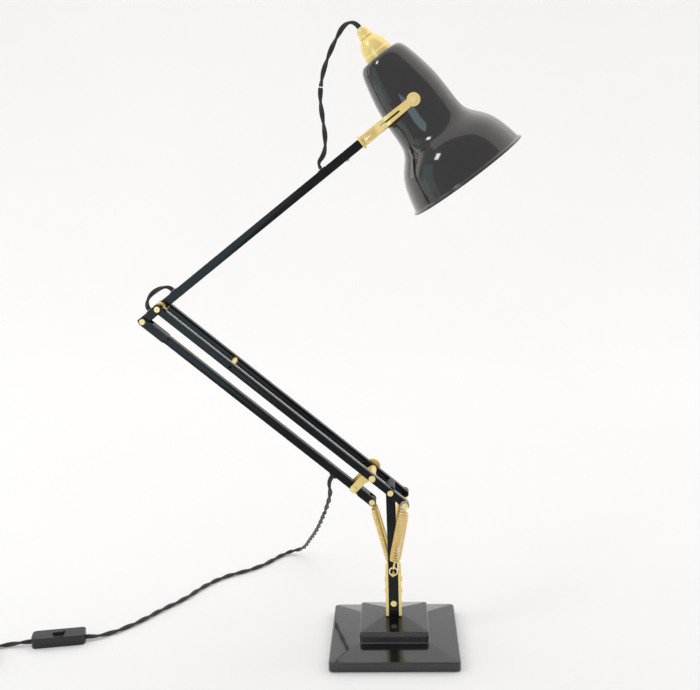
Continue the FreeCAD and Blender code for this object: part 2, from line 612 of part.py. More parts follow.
def make_upper_arm():
    """Square tube from the lever end past the elbow up to the fork, with its cord bushes."""
    frame = along(ELBOW, UP)
    tail = "sizes.rocker_length + sizes.lever_tail"
    long = f"sizes.fork_at + {tail}"
    middle = value(f"sizes.fork_at - ({long}) / 2")
    shift = frame.multiply(Placement(Vector(middle, 0, 0), Rotation()))
    side = "sizes.tube_side"
    outer = block("tube_outside", long, side, side, shift, f"-{side} / 2")
    inside = f"{side} - 2 * sizes.tube_wall"
    hollow = block("tube_inside", f"{long} + 2", inside, inside, shift, f"sizes.tube_wall - {side} / 2")
    elbow_hole = cross_rod("tube_elbow_hole", "sizes.link_pin_dia + 2 * sizes.fit_gap", "20", ELBOW)
    lever_hole = cross_rod("tube_lever_hole", "sizes.link_pin_dia + 2 * sizes.open_pivot_gap", "20",
                           LEVER_END)
    cord_holes = [tube_top_hole(f"tube_cord_hole_{at}", at, "8")
                  for at in (HEAD_CORD_IN, ELBOW_CORD_OUT, -size("rocker_length") / 2)]
    screw_at = ELBOW + UP * (size("fork_at") - 22)
    below = Vector(UP.z, 0, -UP.x)
    screw_hole = rod("tube_screw_hole", "2.6", "10", screw_at, below)
    keep(cut("upper_tube", outer, hollow, elbow_hole, lever_hole, *cord_holes, screw_hole), "upper_tube")

    skin = size("tube_side") / 2
    tip = skin - size("tube_wall") + 0.05
    keep(joined("fork_screw", rod("fork_screw_shank", "2.6", f"{skin + 0.4 - tip}", screw_at + below * tip,
                                  below),
                rod("fork_screw_head", "3.8", "1.6", screw_at + below * (skin + 0.05), below)), "fork_screw")

    bushes = []
    above = below * -1
    for at in (HEAD_CORD_IN, ELBOW_CORD_OUT, -size("rocker_length") / 2):
        skin = ELBOW + UP * at + above * (size("tube_side") / 2 - size("tube_wall"))
        neck = rod(f"bush_neck_{at}", "8", "sizes.bush_high", skin, above)
        lip = rod(f"bush_lip_{at}", "9.4", "sizes.bush_high - sizes.tube_wall",
                  skin + above * size("tube_wall"),
                  above)
        bore = rod(f"bush_bore_{at}", "sizes.cord_dia", "8", skin - above * 2, above)
        bushes.append(cut(f"cord_bush_{at}", joined(f"bush_solid_{at}", neck, lip), bore))
    keep(group("cord_bushes", *bushes), "cord_bushes")


# --- Fork -----------------------------------------------------------------------------------------
def flat_face(corners):
    """A face in the XZ plane from its (x, z) corners."""
    points = [Vector(x, 0, z) for x, z in corners]
    return Part.Face(Part.makePolygon(points + points[:1]))


def make_fork():
    """Brass fork that turns in the tube's end and holds the shade between two slotted prongs."""
    frame = along(ELBOW + UP * size("fork_at"), UP)
    reach = size("upper_length") - size("fork_at")
    thick = size("prong_thick")
    root = size("prong_root")
    tip = size("prong_tip")
    wide = size("prong_spread") - thick / 2
    flange_at = 0.2
    flange_top = flange_at + size("flange_thick")
    parts_of_it = [
        Part.makeCylinder(size("flange_dia") / 2, size("flange_thick"), Vector(flange_at, 0, 0),
                          Vector(1, 0, 0)),
        Part.makeCylinder(size("spigot_dia") / 2, size("spigot_long"), Vector(flange_at, 0, 0),
                          Vector(-1, 0, 0)),
        Part.makeBox(5, 10, root, Vector(flange_top - 0.2, -5, -root / 2)),
    ]
    taper = flat_face([(0, -root / 2), (reach, -tip / 2), (reach, tip / 2), (0, root / 2)])
    slot = Part.makeBox(25, 200, 2, Vector(reach - 43.5, -100, -1))
    notch = flat_face([(5, -1.3), (15, -0.4), (15, 0.4), (5, 1.3)])
    for side, sign in NEAR_FAR:
        route = [Vector(x, sign * y, 0) for x, y in ((4, 4), (10, 6.5), (23, 33), (35, wide), (reach, wide))]
        path, radii = rounded_path(route)
        heading = (route[1] - route[0]).normalize()
        across = heading.cross(UPRIGHT) * (thick / 2)
        tall = UPRIGHT * (root / 2)
        corners = [across + tall, tall - across, across * -1 - tall, across - tall, across + tall]
        section = Part.makePolygon([route[0] + corner for corner in corners])
        band = path.makePipeShell([section], True, True)
        band = band.common(taper.extrude(Vector(0, sign * 100, 0)))
        eye_foot = Vector(reach, sign * wide - thick / 2, 0)
        eye = Part.makeCylinder(size("ring_dia") / 2, thick, eye_foot, Vector(0, 1, 0))
        parts_of_it += [band, eye]
    fork = parts_of_it[0].fuse(parts_of_it[1:])
    bore = Part.makeCylinder(size("ring_hole_dia") / 2 + 0.75, 200, Vector(reach, -100, 0), Vector(0, 1, 0))
    wedge = notch.extrude(Vector(0, 60, 0))
    wedge.translate(Vector(0, -30, 0))
    fork = fork.cut([slot, bore, wedge]).removeSplitter()
    keep(computed("fork", fork, frame), "fork")


# --- Head -----------------------------------------------------------------------------------------
SHADE_OUTLINE = (            # (distance down the axis from the top, outside radius)
    (0, 22.5), (1.6, 25.2), (7, 28), (14, 30), (20, 31.6), (32, 34.2), (44, 36.4), (56, 37.6), (70, 38.2),
    (84, 38.5), (92, 39.2), (97, 40.4), (103, 43.8), (109, 49.2), (115.5, 54.6), (122, 58.7), (129, 61.7),
    (136, 64.0), (144, 66.0), (152, 67.8),
)


def make_head():
    """Bell shade with its lampholder, bulb, brass cap and pivot screws."""
    frame = Placement(SHADE_TOP, Rotation(UPRIGHT, SHADE_DOWN))
    long = size("shade_long")
    wall = size("shade_wall")
    rim = SHADE_OUTLINE[-1][1] + 2.0

    outline = [Vector(r, 0, s) for s, r in SHADE_OUTLINE] + [Vector(rim - 0.6, 0, long)]
    outside = Part.BSplineCurve()
    outside.interpolate(outline)
    lining = [Vector(max(r - wall, 8), 0, s + (wall if i < 2 else 0))
              for i, (s, r) in enumerate(SHADE_OUTLINE)]
    lining.append(Vector(rim - 0.6 - wall, 0, long))
    inside = Part.BSplineCurve()
    inside.interpolate(lining)
    hole = 8
    edges = [
        outside.toShape(),
        Part.LineSegment(outline[-1], lining[-1]).toShape(),
        inside.toShape(),
        Part.LineSegment(lining[0], Vector(hole, 0, wall)).toShape(),
        Part.LineSegment(Vector(hole, 0, wall), Vector(hole, 0, 0)).toShape(),
        Part.LineSegment(Vector(hole, 0, 0), outline[0]).toShape(),
    ]
    wire = Part.Wire(Part.__sortEdges__(edges))
    shell = Part.Face(wire).revolve(Vector(), UPRIGHT, 360)
    bead = Part.makeTorus(rim - 0.4, size("rim_bead"), Vector(0, 0, long), UPRIGHT)
    pivot = Part.makeCylinder(2, 200, Vector(0, -100, size("pivot_from_top")), Vector(0, 1, 0))
    keep(computed("shade", shell.fuse(bead).cut(pivot), frame), "shade")

    screws = []
    inner = 37.9
    outer = size("prong_spread")
    for side, sign in NEAR_FAR:
        def disc(tag, dia, start, end):
            return rod(f"pivot_{side}_{tag}", dia, f"{end - start}", HEAD_PIVOT + Vector(0, sign * start, 0),
                       Vector(0, sign, 0))
        screws.append(joined(f"pivot_screw_{side}", disc("shank", "4", inner - 4, outer),
                             disc("head", "sizes.ring_hole_dia + 1.4", outer - 2.0, outer + 0.7),
                             disc("spacer", "12", inner + 0.2, outer - 2.2)))
    keep(group("pivot_screws", *screws), "pivot_screws")

    up = Placement(SHADE_TOP, Rotation(UPRIGHT, SHADE_DOWN * -1))
    foot = "sizes.cap_foot_dia / 2"
    high = "sizes.cap_high"
    keep(turned("cap", [
        (f"{foot} - 2.8", "0.1"), (foot, "0.1"), (foot, "5"), (f"{foot} - 1.4", "7.4"),
        (f"{foot} - 1.6", "9"),
        (f"{foot} - 3.4", f"{high} * 0.62"), (f"{foot} - 6.2", f"{high} * 0.84"),
        ("sizes.gland_dia / 2 + 0.5", high),
        ("3", high), ("3", f"{high} - 2.4"), (f"{foot} - 7.6", f"{high} * 0.76"), (f"{foot} - 4.2", "8"),
    ], up), "cap")
    top = f"{high} + sizes.gland_high"
    keep(turned("cord_gland", [
        ("3", high), ("sizes.gland_dia / 2", high), ("sizes.gland_dia / 2", f"{top} - 1.4"),
        ("sizes.gland_dia / 2 - 1.2", top), ("4.4", top), ("4.4", f"{top} - 3"), ("3", f"{top} - 3"),
    ], up), "cord_gland")
    keep(turned("cord_sleeve", [
        ("sizes.cord_dia / 2", f"{top} - 3"), ("4.4", f"{top} - 3"), ("4.4", f"{top} + 0.4"),
        ("3.4", f"{top} + 1.4"), ("sizes.cord_dia / 2", f"{top} + 1.4"),
    ], up), "cord_sleeve")

    keep(turned("lampholder", [
        ("0", "1.2"), ("15", "1.2"), ("19", "4"), ("19", "30"), ("20.5", "31"), ("20.5", "40"), ("19", "42"),
        ("15.5", "42"), ("15.5", "14"), ("0", "14"),
    ], frame), "lampholder")
    globe = "sizes.bulb_dia / 2"
    keep(turned("bulb", [
        ("0", "18"), ("6", "18"), ("12.8", "22"), ("12.8", "42"), ("14", "48"), ("17", "60"), ("22", "74"),
        (f"{globe} * 0.93", "88"), (globe, "100"), (f"{globe} * 0.96", "110"), (f"{globe} * 0.82", "120"),
        (f"{globe} * 0.56", "127.5"), (f"{globe} * 0.28", "131"), ("0", "132"),
    ], frame), "bulb")
    return SHADE_TOP - SHADE_DOWN * value(f"{top} + 1.4")


# --- Springs --------------------------------------------------------------------------------------
def hollow_coil(name, dia, wire, start, end):
    """The closed shape of a coil: a tube as long as the coil."""
    way = end - start
    outer = rod(name + "_outside", dia, f"{way.Length}", start, way)
    inner = rod(name + "_inside", f"{dia} - 2 * {wire} - 0.4", f"{way.Length + 2}", start - way / way.Length,
                way)
    return cut(name, outer, inner)


def hook(name, eye_dia, wire, at, toward, long, axis):
    """A wire eye with a straight shank that starts at the eye's rim."""
    way = (toward - at).normalize()
    eye = ring(name + "_eye", eye_dia, wire, at, axis)
    shank = rod(name + "_shank", wire, f"{long}", at + way * (value(eye_dia) / 2), way)
    return joined(name, eye, shank)


def make_springs():
    """A front pair beside the post and a rear pair between its bars, each with its hooks."""
    coils = {"front": [], "rear": []}
    low_hooks = {"front": [], "rear": []}
    high_hooks = {"front": [], "rear": []}
    for side, sign in NEAR_FAR:
        y = Vector(0, sign * size("front_spring_y"), 0)
        wire = "sizes.front_wire"
        top = SPRING_PIN + y + Vector(0, sign * 0.8, 0)
        low = ANCHOR + y + Vector(0.6, 0, 6.2)
        way = (top - low).normalize()
        high_hooks["front"].append(hook(f"front_hook_{side}", "8.8", wire, top, low, 18, Vector(0, 1, 0)))
        low_hooks["front"].append(hook(f"front_tail_{side}", "6.6", wire, low, top, 14, Vector(1, 0, 0)))
        coils["front"].append(hollow_coil(f"front_coil_{side}", "sizes.front_coil_dia", wire,
                                          low + way * 5.2, top - way * 11.5))
        y = Vector(0, sign * size("rear_spring_y"), 0)
        wire = "sizes.rear_wire"
        top = LINK_FOOT + y * 0.96
        low = REAR_ANCHOR + y * 0.96
        way = (top - low).normalize()
        high_hooks["rear"].append(hook(f"rear_hook_{side}", "6.6", wire, top, low, 12, Vector(0, 1, 0)))
        low_hooks["rear"].append(hook(f"rear_tail_{side}", "5.8", wire, low, top, 38, Vector(0, 1, 0)))
        coils["rear"].append(hollow_coil(f"rear_coil_{side}", "sizes.rear_coil_dia", wire,
                                         low + way * 9, top - way * 9.5))
    for pair in ("front", "rear"):
        keep(group(f"{pair}_spring_coils", *coils[pair]), f"{pair}_spring_coils")
        keep(group(f"{pair}_spring_tails", *low_hooks[pair]), f"{pair}_spring_tails")
        keep(group(f"{pair}_spring_hooks", *high_hooks[pair]), f"{pair}_spring_hooks")
    solid = cross_rod("link_roller_solid", "sizes.link_pin_dia + 1", "2.6", LINK_FOOT)
    bore = cross_rod("link_roller_bore", "sizes.link_pin_dia + 2 * sizes.fit_gap", "4", LINK_FOOT)
    keep(cut("rear_spring_roller", solid, bore), "rear_spring_roller")


# --- Cords, switch and plug ---------------------------------------------------------------------
# Corners of the cords' routes, (x, y, z); each starts and ends at a bush, the switch or the next cord.
DROP_END = Vector(-82.8, 55.6, 143.8)  # where the hanging lead meets its resting part
FALL = Vector(-0.178, 0.787, -0.590)   # its direction there
SWITCH_IN = Vector(-377, 4.6, 5.2)
SWITCH_TURN = 190.5                   # which way the switch points in plan, degrees from +X
KEY_PIVOT_Z = 8                       # height of the switch key's axle
COIL_LAYERS = 3
COIL_STUB = 26


def bush_mouth(at):
    """Where a cord meets the bush on the upper tube."""
    above = Vector(-UP.z, 0, UP.x)
    rise = size("tube_side") / 2 - size("tube_wall") + size("bush_high")
    return ELBOW + UP * at + above * rise, above


def make_arm_cords(gland):
    """The loop from the head into the upper tube, and the short loop around the elbow."""
    dia = size("cord_dia")
    mouth, above = bush_mouth(HEAD_CORD_IN)
    cord("head_cord", [
        gland, gland - SHADE_DOWN * 8, (-40.5, 0, 713), (-50.5, 0, 697), (-59.5, 0, 679), (-66.5, 0, 659),
        (-69.5, 0, 637), (-67, 0, 615), (-64.5, 0, 594), (-66, 0, 577), mouth + above * 7, mouth,
    ], dia)
    out, above = bush_mouth(ELBOW_CORD_OUT)
    back, above = bush_mouth(-size("rocker_length") / 2)
    cord("elbow_cord", [out, out + above * 6, (-258, 0, 433), (-269.5, 0, 425), back + above * 6, back], dia)


def make_lead(start, down):
    """The supply lead: hanging part, part on the floor to the switch, and the coiled rest to the plug."""
    dia = size("cord_dia")
    floor = dia / 2 + 0.1
    cord("lead_drop", [start, start + down * 8, (-71.5, 7, 186), DROP_END - FALL * 32, DROP_END], dia)
    cord("lead_run", [
        DROP_END, DROP_END + FALL * 45, (-104, 146, 79.5), (-116, 195, 50), (-124, 230, 28),
        (-133, 256, 11), (-152, 265, 3.5), (-168, 247, floor), (-182, 223, floor), (-205, 200, floor),
        (-232, 184, floor),
        (-258, 152, floor), (-276, 112, floor), (-301, 80, floor), (-322, 46, floor), (-346, 20, floor),
        (-364, 7, 4), SWITCH_IN,
    ], dia)

    ahead = Rotation(UPRIGHT, SWITCH_TURN).multVec(Vector(1, 0, 0))
    left = Rotation(UPRIGHT, SWITCH_TURN).multVec(Vector(0, 1, 0))
    switch_out = SWITCH_IN + ahead * size("switch_long")
    radius = size("coil_dia") / 2
    touch = switch_out + ahead * 80
    touch.z = floor
    outer = radius + dia
    middle = touch + left * (radius + dia / 2)
    meet = touch - ahead * COIL_STUB
    cord("lead_tail", [
        switch_out, switch_out + ahead * 17 - UPRIGHT * 0.6, switch_out + ahead * 35 - UPRIGHT * 2.2, meet,
    ], dia)

    base = Vector(middle.x, middle.y, 0.1)
    side_touch = Vector(middle.x - radius - dia / 2, middle.y, floor + dia)
    ring_solid = cut("coil_ring", rod("coil_outside", f"{2 * outer}", f"{COIL_LAYERS * dia}", base),
                     rod("coil_inside", f"{2 * (radius - dia)}", f"{COIL_LAYERS * dia}", base))
    away = Vector(0, -1, 0)
    keep(joined("lead_coil", ring_solid, rod("coil_stub_in", "sizes.cord_dia", f"{COIL_STUB}", meet, ahead),
                rod("coil_stub_out", "sizes.cord_dia", f"{COIL_STUB}", side_touch, away)), "lead_coil")
    leave = side_touch + away * COIL_STUB
    plug_in = Vector(leave.x + 1.6, leave.y - 40, size("plug_high") / 2)
    cord("plug_cord", [leave, leave + away * 13, plug_in - away * 13, plug_in], dia)
    return plug_in


def make_switch():
    """Two-part switch body on the lead with a rocking key."""
    place = Placement(Vector(SWITCH_IN.x, SWITCH_IN.y, 0), Rotation(UPRIGHT, SWITCH_TURN))
    half = size("switch_long") / 2
    shift = place.multiply(Placement(Vector(half, 0, 0), Rotation()))
    long = "sizes.switch_long"
    wide = "sizes.switch_wide"
    tub = block("switch_tub", long, wide, "sizes.switch_split - 0.2", shift, "0.2")
    lid = block("switch_lid", long, wide, "sizes.switch_high - sizes.switch_split", shift,
                "sizes.switch_split")
    doc.recompute()
    halves = []
    for name, box in (("lower", tub), ("upper", lid)):
        rounded = doc.addObject("Part::Fillet", f"switch_{name}_round")
        rounded.Base = box
        upright = [i for i, edge in enumerate(box.Shape.Edges, start=1)
                   if abs(edge.tangentAt(edge.FirstParameter).z) > 0.99]
        rounded.Edges = [(i, 5, 5) for i in upright]
        halves.append(rounded)
    well = block("switch_well", "sizes.key_long + 2", "sizes.key_wide + 0.8", "20", shift,
                 "sizes.switch_split - 2")
    axle_at = shift.multVec(Vector(0, 0, KEY_PIVOT_Z))
    across = shift.Rotation.multVec(Vector(0, 1, 0))

    def axle(name, dia, length):
        return rod(name, dia, length, axle_at - across * (value(length) / 2), across)

    axle_hole = axle("switch_axle_hole", "2 + 2 * sizes.fit_gap", "sizes.key_wide + 4.4")
    keep(cut("switch_lower", halves[0], well), "switch_lower")
    keep(cut("switch_upper", halves[1], well, axle_hole), "switch_upper")
    key_foot = value("sizes.switch_split")
    key = block("key_stem", "sizes.key_long - 3", "sizes.key_wide",
                "sizes.switch_high - sizes.switch_split - 1.5",
                shift, f"{key_foot}")
    crown = block("key_crown", "sizes.key_long", "sizes.key_wide", "sizes.key_stands + 2.5", shift,
                  "sizes.switch_high - 2.5")
    keep(joined("switch_rocker", key, crown, axle("switch_axle", "2", "sizes.key_wide + 4")), "switch_rocker")


def make_plug(plug_in):
    """Flat two-pin plug lying on the floor."""
    place = Placement(Vector(plug_in.x, plug_in.y, 0), Rotation(UPRIGHT, -90))
    neck_long = 9
    body_long = f"sizes.plug_long - {neck_long}"
    shift = place.multiply(Placement(Vector(neck_long + value(body_long) / 2, 0, 0), Rotation()))
    body = block("plug_solid", body_long, "sizes.plug_wide", "sizes.plug_high - 0.2", shift, "0.2")
    neck = rod("plug_neck", "10", f"{neck_long + 1}", plug_in, Vector(0, -1, 0))
    face = plug_in + Vector(0, -size("plug_long"), 0)
    pins = []
    holes = []
    for x in (-9.5, 9.5):
        start = face + Vector(x, 6, 0)
        pins.append(rod(f"plug_pin_{x}", "4", "25", start, Vector(0, -1, 0)))
        holes.append(rod(f"plug_hole_{x}", "4", "10", start, Vector(0, -1, 0)))
    keep(cut("plug_body", joined("plug_outside", body, neck), *holes), "plug_body")
    keep(group("plug_pins", *pins), "plug_pins")


def finish():
    """Check every object and write one file per sub-part."""
    doc.recompute()
    for obj in doc.Objects:
        if "Invalid" in obj.State or "Error" in obj.State:
            raise RuntimeError(f"{obj.Label} did not compute: {obj.State}")
    os.makedirs("parts", exist_ok=True)
    for obj in parts:
        shape = obj.Shape
        if shape.isNull() or not shape.isValid() or not shape.Solids:
            raise RuntimeError(f"{obj.Label} has no valid solid")
        shape.exportStep(f"parts/{obj.Label}.step")
    print(len(parts), "sub-parts")


make_base()
make_post()
make_lower_arm()
make_rocker()
lead_start, lead_down = make_link_bar()
make_upper_arm()
make_fork()
gland_mouth = make_head()
make_springs()
make_arm_cords(gland_mouth)
plug_mouth = make_lead(lead_start, lead_down)
make_switch()
make_plug(plug_mouth)
finish()
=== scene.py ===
# %% [markdown]
# # A spring-balanced desk lamp
# The model already exists as a solid frame: every rod, plate and pin has its size, its place and the body
# it moves with. Blender adds what a solid model lacks: softened edges, wound wire, twisted cord and finishes.
# We load the frame first and note its box, because nothing added later may change the lamp's size.

# %% Load the frame
import json
import math

import bmesh
import bpy
import mathutils
import numpy as np
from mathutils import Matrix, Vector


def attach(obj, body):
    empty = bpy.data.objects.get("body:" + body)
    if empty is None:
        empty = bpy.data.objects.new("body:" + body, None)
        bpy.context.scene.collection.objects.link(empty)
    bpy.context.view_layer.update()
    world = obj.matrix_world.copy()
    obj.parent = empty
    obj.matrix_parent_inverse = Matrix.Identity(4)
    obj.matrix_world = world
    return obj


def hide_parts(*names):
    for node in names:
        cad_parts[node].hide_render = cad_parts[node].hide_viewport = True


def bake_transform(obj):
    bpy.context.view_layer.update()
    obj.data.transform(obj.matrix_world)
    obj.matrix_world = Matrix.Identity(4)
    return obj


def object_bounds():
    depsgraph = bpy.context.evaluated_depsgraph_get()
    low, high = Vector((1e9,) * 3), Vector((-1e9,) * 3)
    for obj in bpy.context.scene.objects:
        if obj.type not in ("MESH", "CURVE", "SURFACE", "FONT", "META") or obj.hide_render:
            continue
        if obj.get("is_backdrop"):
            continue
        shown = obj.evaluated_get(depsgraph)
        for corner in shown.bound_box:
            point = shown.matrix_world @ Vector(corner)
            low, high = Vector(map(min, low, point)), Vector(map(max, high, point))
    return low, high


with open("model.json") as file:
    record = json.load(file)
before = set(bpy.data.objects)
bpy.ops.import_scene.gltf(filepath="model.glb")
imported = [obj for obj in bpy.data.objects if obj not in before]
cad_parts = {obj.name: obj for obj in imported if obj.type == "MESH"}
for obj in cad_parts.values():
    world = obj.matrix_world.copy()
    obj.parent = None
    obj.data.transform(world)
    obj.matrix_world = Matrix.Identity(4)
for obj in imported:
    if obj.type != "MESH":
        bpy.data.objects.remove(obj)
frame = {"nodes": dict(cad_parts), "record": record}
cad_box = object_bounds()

MM = 0.001

# %% [markdown]
# ## The camera
# The lamp is seen from about 1.3 m away and a little above the middle of its height. A camera could be aimed
# with a constraint, but writing its three axes down is exact and stays fixed: the view direction comes from
# a turn to the left and a tilt down, and a small roll turns the other two axes about it.

# %% Camera
CAMERA_AT = np.array([8.6, -1131.2, 593.0]) * MM
TURN_LEFT, TILT_DOWN, ROLL = math.radians(2.66), math.radians(11.45), math.radians(-1.56)

forward = np.array([-math.sin(TURN_LEFT) * math.cos(TILT_DOWN), math.cos(TURN_LEFT) * math.cos(TILT_DOWN),
                    -math.sin(TILT_DOWN)])
level_right = np.array([math.cos(TURN_LEFT), math.sin(TURN_LEFT), 0.0])
level_up = np.cross(level_right, forward)
camera_right = math.cos(ROLL) * level_right + math.sin(ROLL) * level_up
camera_up = -math.sin(ROLL) * level_right + math.cos(ROLL) * level_up

lens = bpy.data.cameras.new("view")
lens.lens = 52.44
lens.sensor_width = 36
lens.clip_end = 50
camera = bpy.data.objects.new("view", lens)
turn = np.eye(4)
turn[:3, 0], turn[:3, 1], turn[:3, 2], turn[:3, 3] = camera_right, camera_up, -forward, CAMERA_AT
camera.matrix_world = mathutils.Matrix(turn.tolist())
bpy.context.scene.collection.objects.link(camera)
bpy.context.scene.camera = camera
print("camera at", CAMERA_AT)

# %% [markdown]
# ## Where the pivots are
# The arms form a parallelogram, so a few lengths and two angles give every pivot. The same sums drive the
# solid model, which keeps each new piece on its pin. Points are kept in millimetres until the mesh is made.

# %% Pivots
X, Y, Z = np.eye(3)


def in_plane(degrees):
    """A direction in the arm's plane, counted up from the floor: cosine along X, sine along Z."""
    return np.array([math.cos(math.radians(degrees)), 0.0, math.sin(math.radians(degrees))])


LOWER_ANGLE, UPPER_ANGLE, SHADE_LEAN = 40.5, 37.3, 35.7
LOWER_LONG, CRANK, SPRING_TAIL = 335.3, 27.0, 21.6
HEAD_ALONG, FORK_ALONG, PIVOT_FROM_TOP = 361, 289, 58.5
LOW = in_plane(180 - LOWER_ANGLE)
UP = in_plane(UPPER_ANGLE)
ABOVE_TUBE = in_plane(UPPER_ANGLE + 90)
SHOULDER = np.array([-1.4, 0, 194.5])
ELBOW = SHOULDER + LOW * LOWER_LONG
LEVER_END = ELBOW - UP * CRANK
ROCKER_TOP = SHOULDER + LOW * CRANK
ROCKER_FOOT = ROCKER_TOP - UP * CRANK
LINK_FOOT = SHOULDER - UP * CRANK
SPRING_PIN = SHOULDER - LOW * SPRING_TAIL
HEAD_PIVOT = ELBOW + UP * HEAD_ALONG
FORK_FOOT = ELBOW + UP * FORK_ALONG
SHADE_DOWN = in_plane(-(90 - SHADE_LEAN))
SHADE_TOP = HEAD_PIVOT - SHADE_DOWN * PIVOT_FROM_TOP
ANCHOR = np.array([0.4, 0, 99.5])
print("elbow at", ELBOW.round(1), "head at", HEAD_PIVOT.round(1))

# %% [markdown]
# ## Shader maths written as sums
# A finish is easier to read as `0.3 + 0.1 * grain` than as a wire diagram. One small class wraps a node
# socket: its operators add Math nodes for plain values, and one method adds any other node.

# %% The socket class


class Value:
    """A node socket that can be added, multiplied and so on; each operation adds one Math node."""

    def __init__(self, tree, socket):
        self.tree, self.socket = tree, socket

    def node(self, kind, settings=None, out=0, **inputs):
        """Add a node: its settings first, then values or links for its sockets, named with _ for spaces."""
        made = self.tree.nodes.new(kind)
        for key, setting in (settings or {}).items():
            setattr(made, key, setting)
        for key, given in inputs.items():
            if key.startswith("in") and key[2:].isdigit():
                target = made.inputs[int(key[2:])]
            else:
                target = next(s for s in made.inputs if s.name == key.replace("_", " ") and s.enabled)
            if isinstance(given, Value):
                self.tree.links.new(given.socket, target)
            elif target.type == "RGBA" and len(given) == 3:
                target.default_value = (*given, 1)
            else:
                target.default_value = given
        return Value(self.tree, made.outputs[out])

    def math(self, operation, *others):
        """One Math node on this value and the others."""
        inputs = {f"in{i}": v for i, v in enumerate((self, *others))}
        return self.node("ShaderNodeMath", {"operation": operation}, **inputs)

    def __add__(self, other):
        return self.math("ADD", other)

    def __sub__(self, other):
        return self.math("SUBTRACT", other)

    def __rsub__(self, other):
        flipped = self.math("MULTIPLY", -1.0)
        return flipped.math("ADD", other)

    def __mul__(self, other):
        return self.math("MULTIPLY", other)

    __radd__ = __add__
    __rmul__ = __mul__

    def clamp(self, low=0.0, high=1.0):
        """This value kept between two limits."""
        return self.math("MAXIMUM", low).math("MINIMUM", high)

    def mix(self, first, second):
        """A colour between two others, with this value as the share of the second."""
        return self.node("ShaderNodeMix", {"data_type": "RGBA"}, out=2, in0=self, in6=first, in7=second)


def new_finish(name, **constants):
    """A material whose Principled shader has its constant sockets set; returns it, its shader and a start."""
    material = bpy.data.materials.new(name)
    material.use_nodes = True
    tree = material.node_tree
    shader = tree.nodes["Principled BSDF"]
    for key, number in constants.items():
        target = shader.inputs[key.replace("_", " ")]
        target.default_value = (*number, 1) if target.type == "RGBA" else number
    return material, shader, Value(tree, None)


def feed(shader, **links):
    """Link values to the shader's sockets."""
    for key, value in links.items():
        value.tree.links.new(value.socket, shader.inputs[key.replace("_", " ")])


def noise(start, scale, detail=3.0, rough=0.55, vector=None):
    """Smooth random cloud over the object's own coordinates, which are metres."""
    if vector is None:
        vector = start.node("ShaderNodeTexCoord", out=3)
    return start.node("ShaderNodeTexNoise", Vector=vector, Scale=scale, Detail=detail, Roughness=rough)


def stretched(start, across):
    """Object coordinates squeezed differently along each axis, for brushed grain."""
    return start.node("ShaderNodeMapping", Vector=start.node("ShaderNodeTexCoord", out=3), Scale=across)


def bumped(start, height, strength, distance):
    """A Bump node from a height in 0..1."""
    return start.node("ShaderNodeBump", Height=height, Strength=strength, Distance=distance)


print("shader helpers ready")

# %% [markdown]
# ## Stoved black enamel
# The arms, base and shade are steel under thick black stoving enamel. It is almost a mirror, but never quite:
# it has a slow orange-peel ripple, a few fine scratches and a film of dust that dulls it here and there.
# Noise drives roughness for the dust and a faint bump for the ripple, under a clear coat. The base keeps the
# plain black; the arms and the lamp shade get copies whose base colours hold painted light: darker and bluer
# on the arms as painted shade, warmer on the lamp shade as a painted reflection of the room.

# %% Enamel


def enamel(name, colour, dust=0.10, ripple=0.10):
    """Black enamel: roughness = low base + dust cloud, bump = slow ripple."""
    material, shader, start = new_finish(name, Roughness=0.12, IOR=1.5, Coat_Weight=0.6, Coat_Roughness=0.03)
    cloud = noise(start, 38.0, 4.0)
    streak = noise(start, 1.0, 5.0, vector=stretched(start, (260, 900, 420)))
    worn = (cloud - 0.45).clamp() * 1.6
    feed(shader, Base_Color=worn.mix(colour, tuple(c + 0.012 for c in colour)),
         Roughness=0.07 + dust * cloud + 0.05 * streak,
         Normal=bumped(start, noise(start, 520.0, 1.0), ripple, 0.00012))
    return material


BLACK = (0.006, 0.0065, 0.008)
enamel_black = enamel("stoved_enamel", BLACK)
# The lamp shade's copy has a warmer base colour: a painted reflection of the room's warm light in its gloss.
bell_finish_painted_reflection = enamel("shade_enamel", (0.0075, 0.0062, 0.0062), dust=0.02, ripple=0.03)
# The arms' copy has a darker, bluer base colour: painted shade for the dark room in front that the bar faces
# reflect. Its coat is also off and its reflection weaker.
arm_finish_painted_shade = enamel("arm_enamel", (0.0030, 0.0050, 0.0070), dust=0.04, ripple=0.05)
arm_finish_painted_shade.node_tree.nodes["Principled BSDF"].inputs["Coat Weight"].default_value = 0.0
arm_finish_painted_shade.node_tree.nodes["Principled BSDF"].inputs["Specular IOR Level"].default_value = 0.22

# %% [markdown]
# ## Brass, satin and bright
# The fork, cap, cheeks and screws are brushed brass under a clear satin lacquer. Brushing leaves short fine
# lines, so a noise squeezed along one axis moves both the colour and the roughness. A bare metal would mirror
# the room and little else; the lacquer scatters light, so the metallic share is kept well below one.

# %% Brass and steel


def metal(name, light, dark, rough, grain=(700, 90, 700), lines=0.14, bump=0.12, metallic=1.0):
    """Brushed metal: colour between two tones by a slow cloud, roughness and bump by squeezed noise.

    A metallic share below one stands for a lacquer over the metal.
    """
    material, shader, start = new_finish(name, Metallic=metallic, Roughness=rough)
    cloud = noise(start, 60.0, 3.0)
    brush = noise(start, 1.0, 4.0, 0.6, stretched(start, grain))
    feed(shader, Base_Color=(cloud * 0.6 + brush * 0.4).clamp().mix(dark, light),
         Roughness=(rough - lines / 2) + lines * brush,
         Normal=bumped(start, brush, bump, 0.00006))
    return material


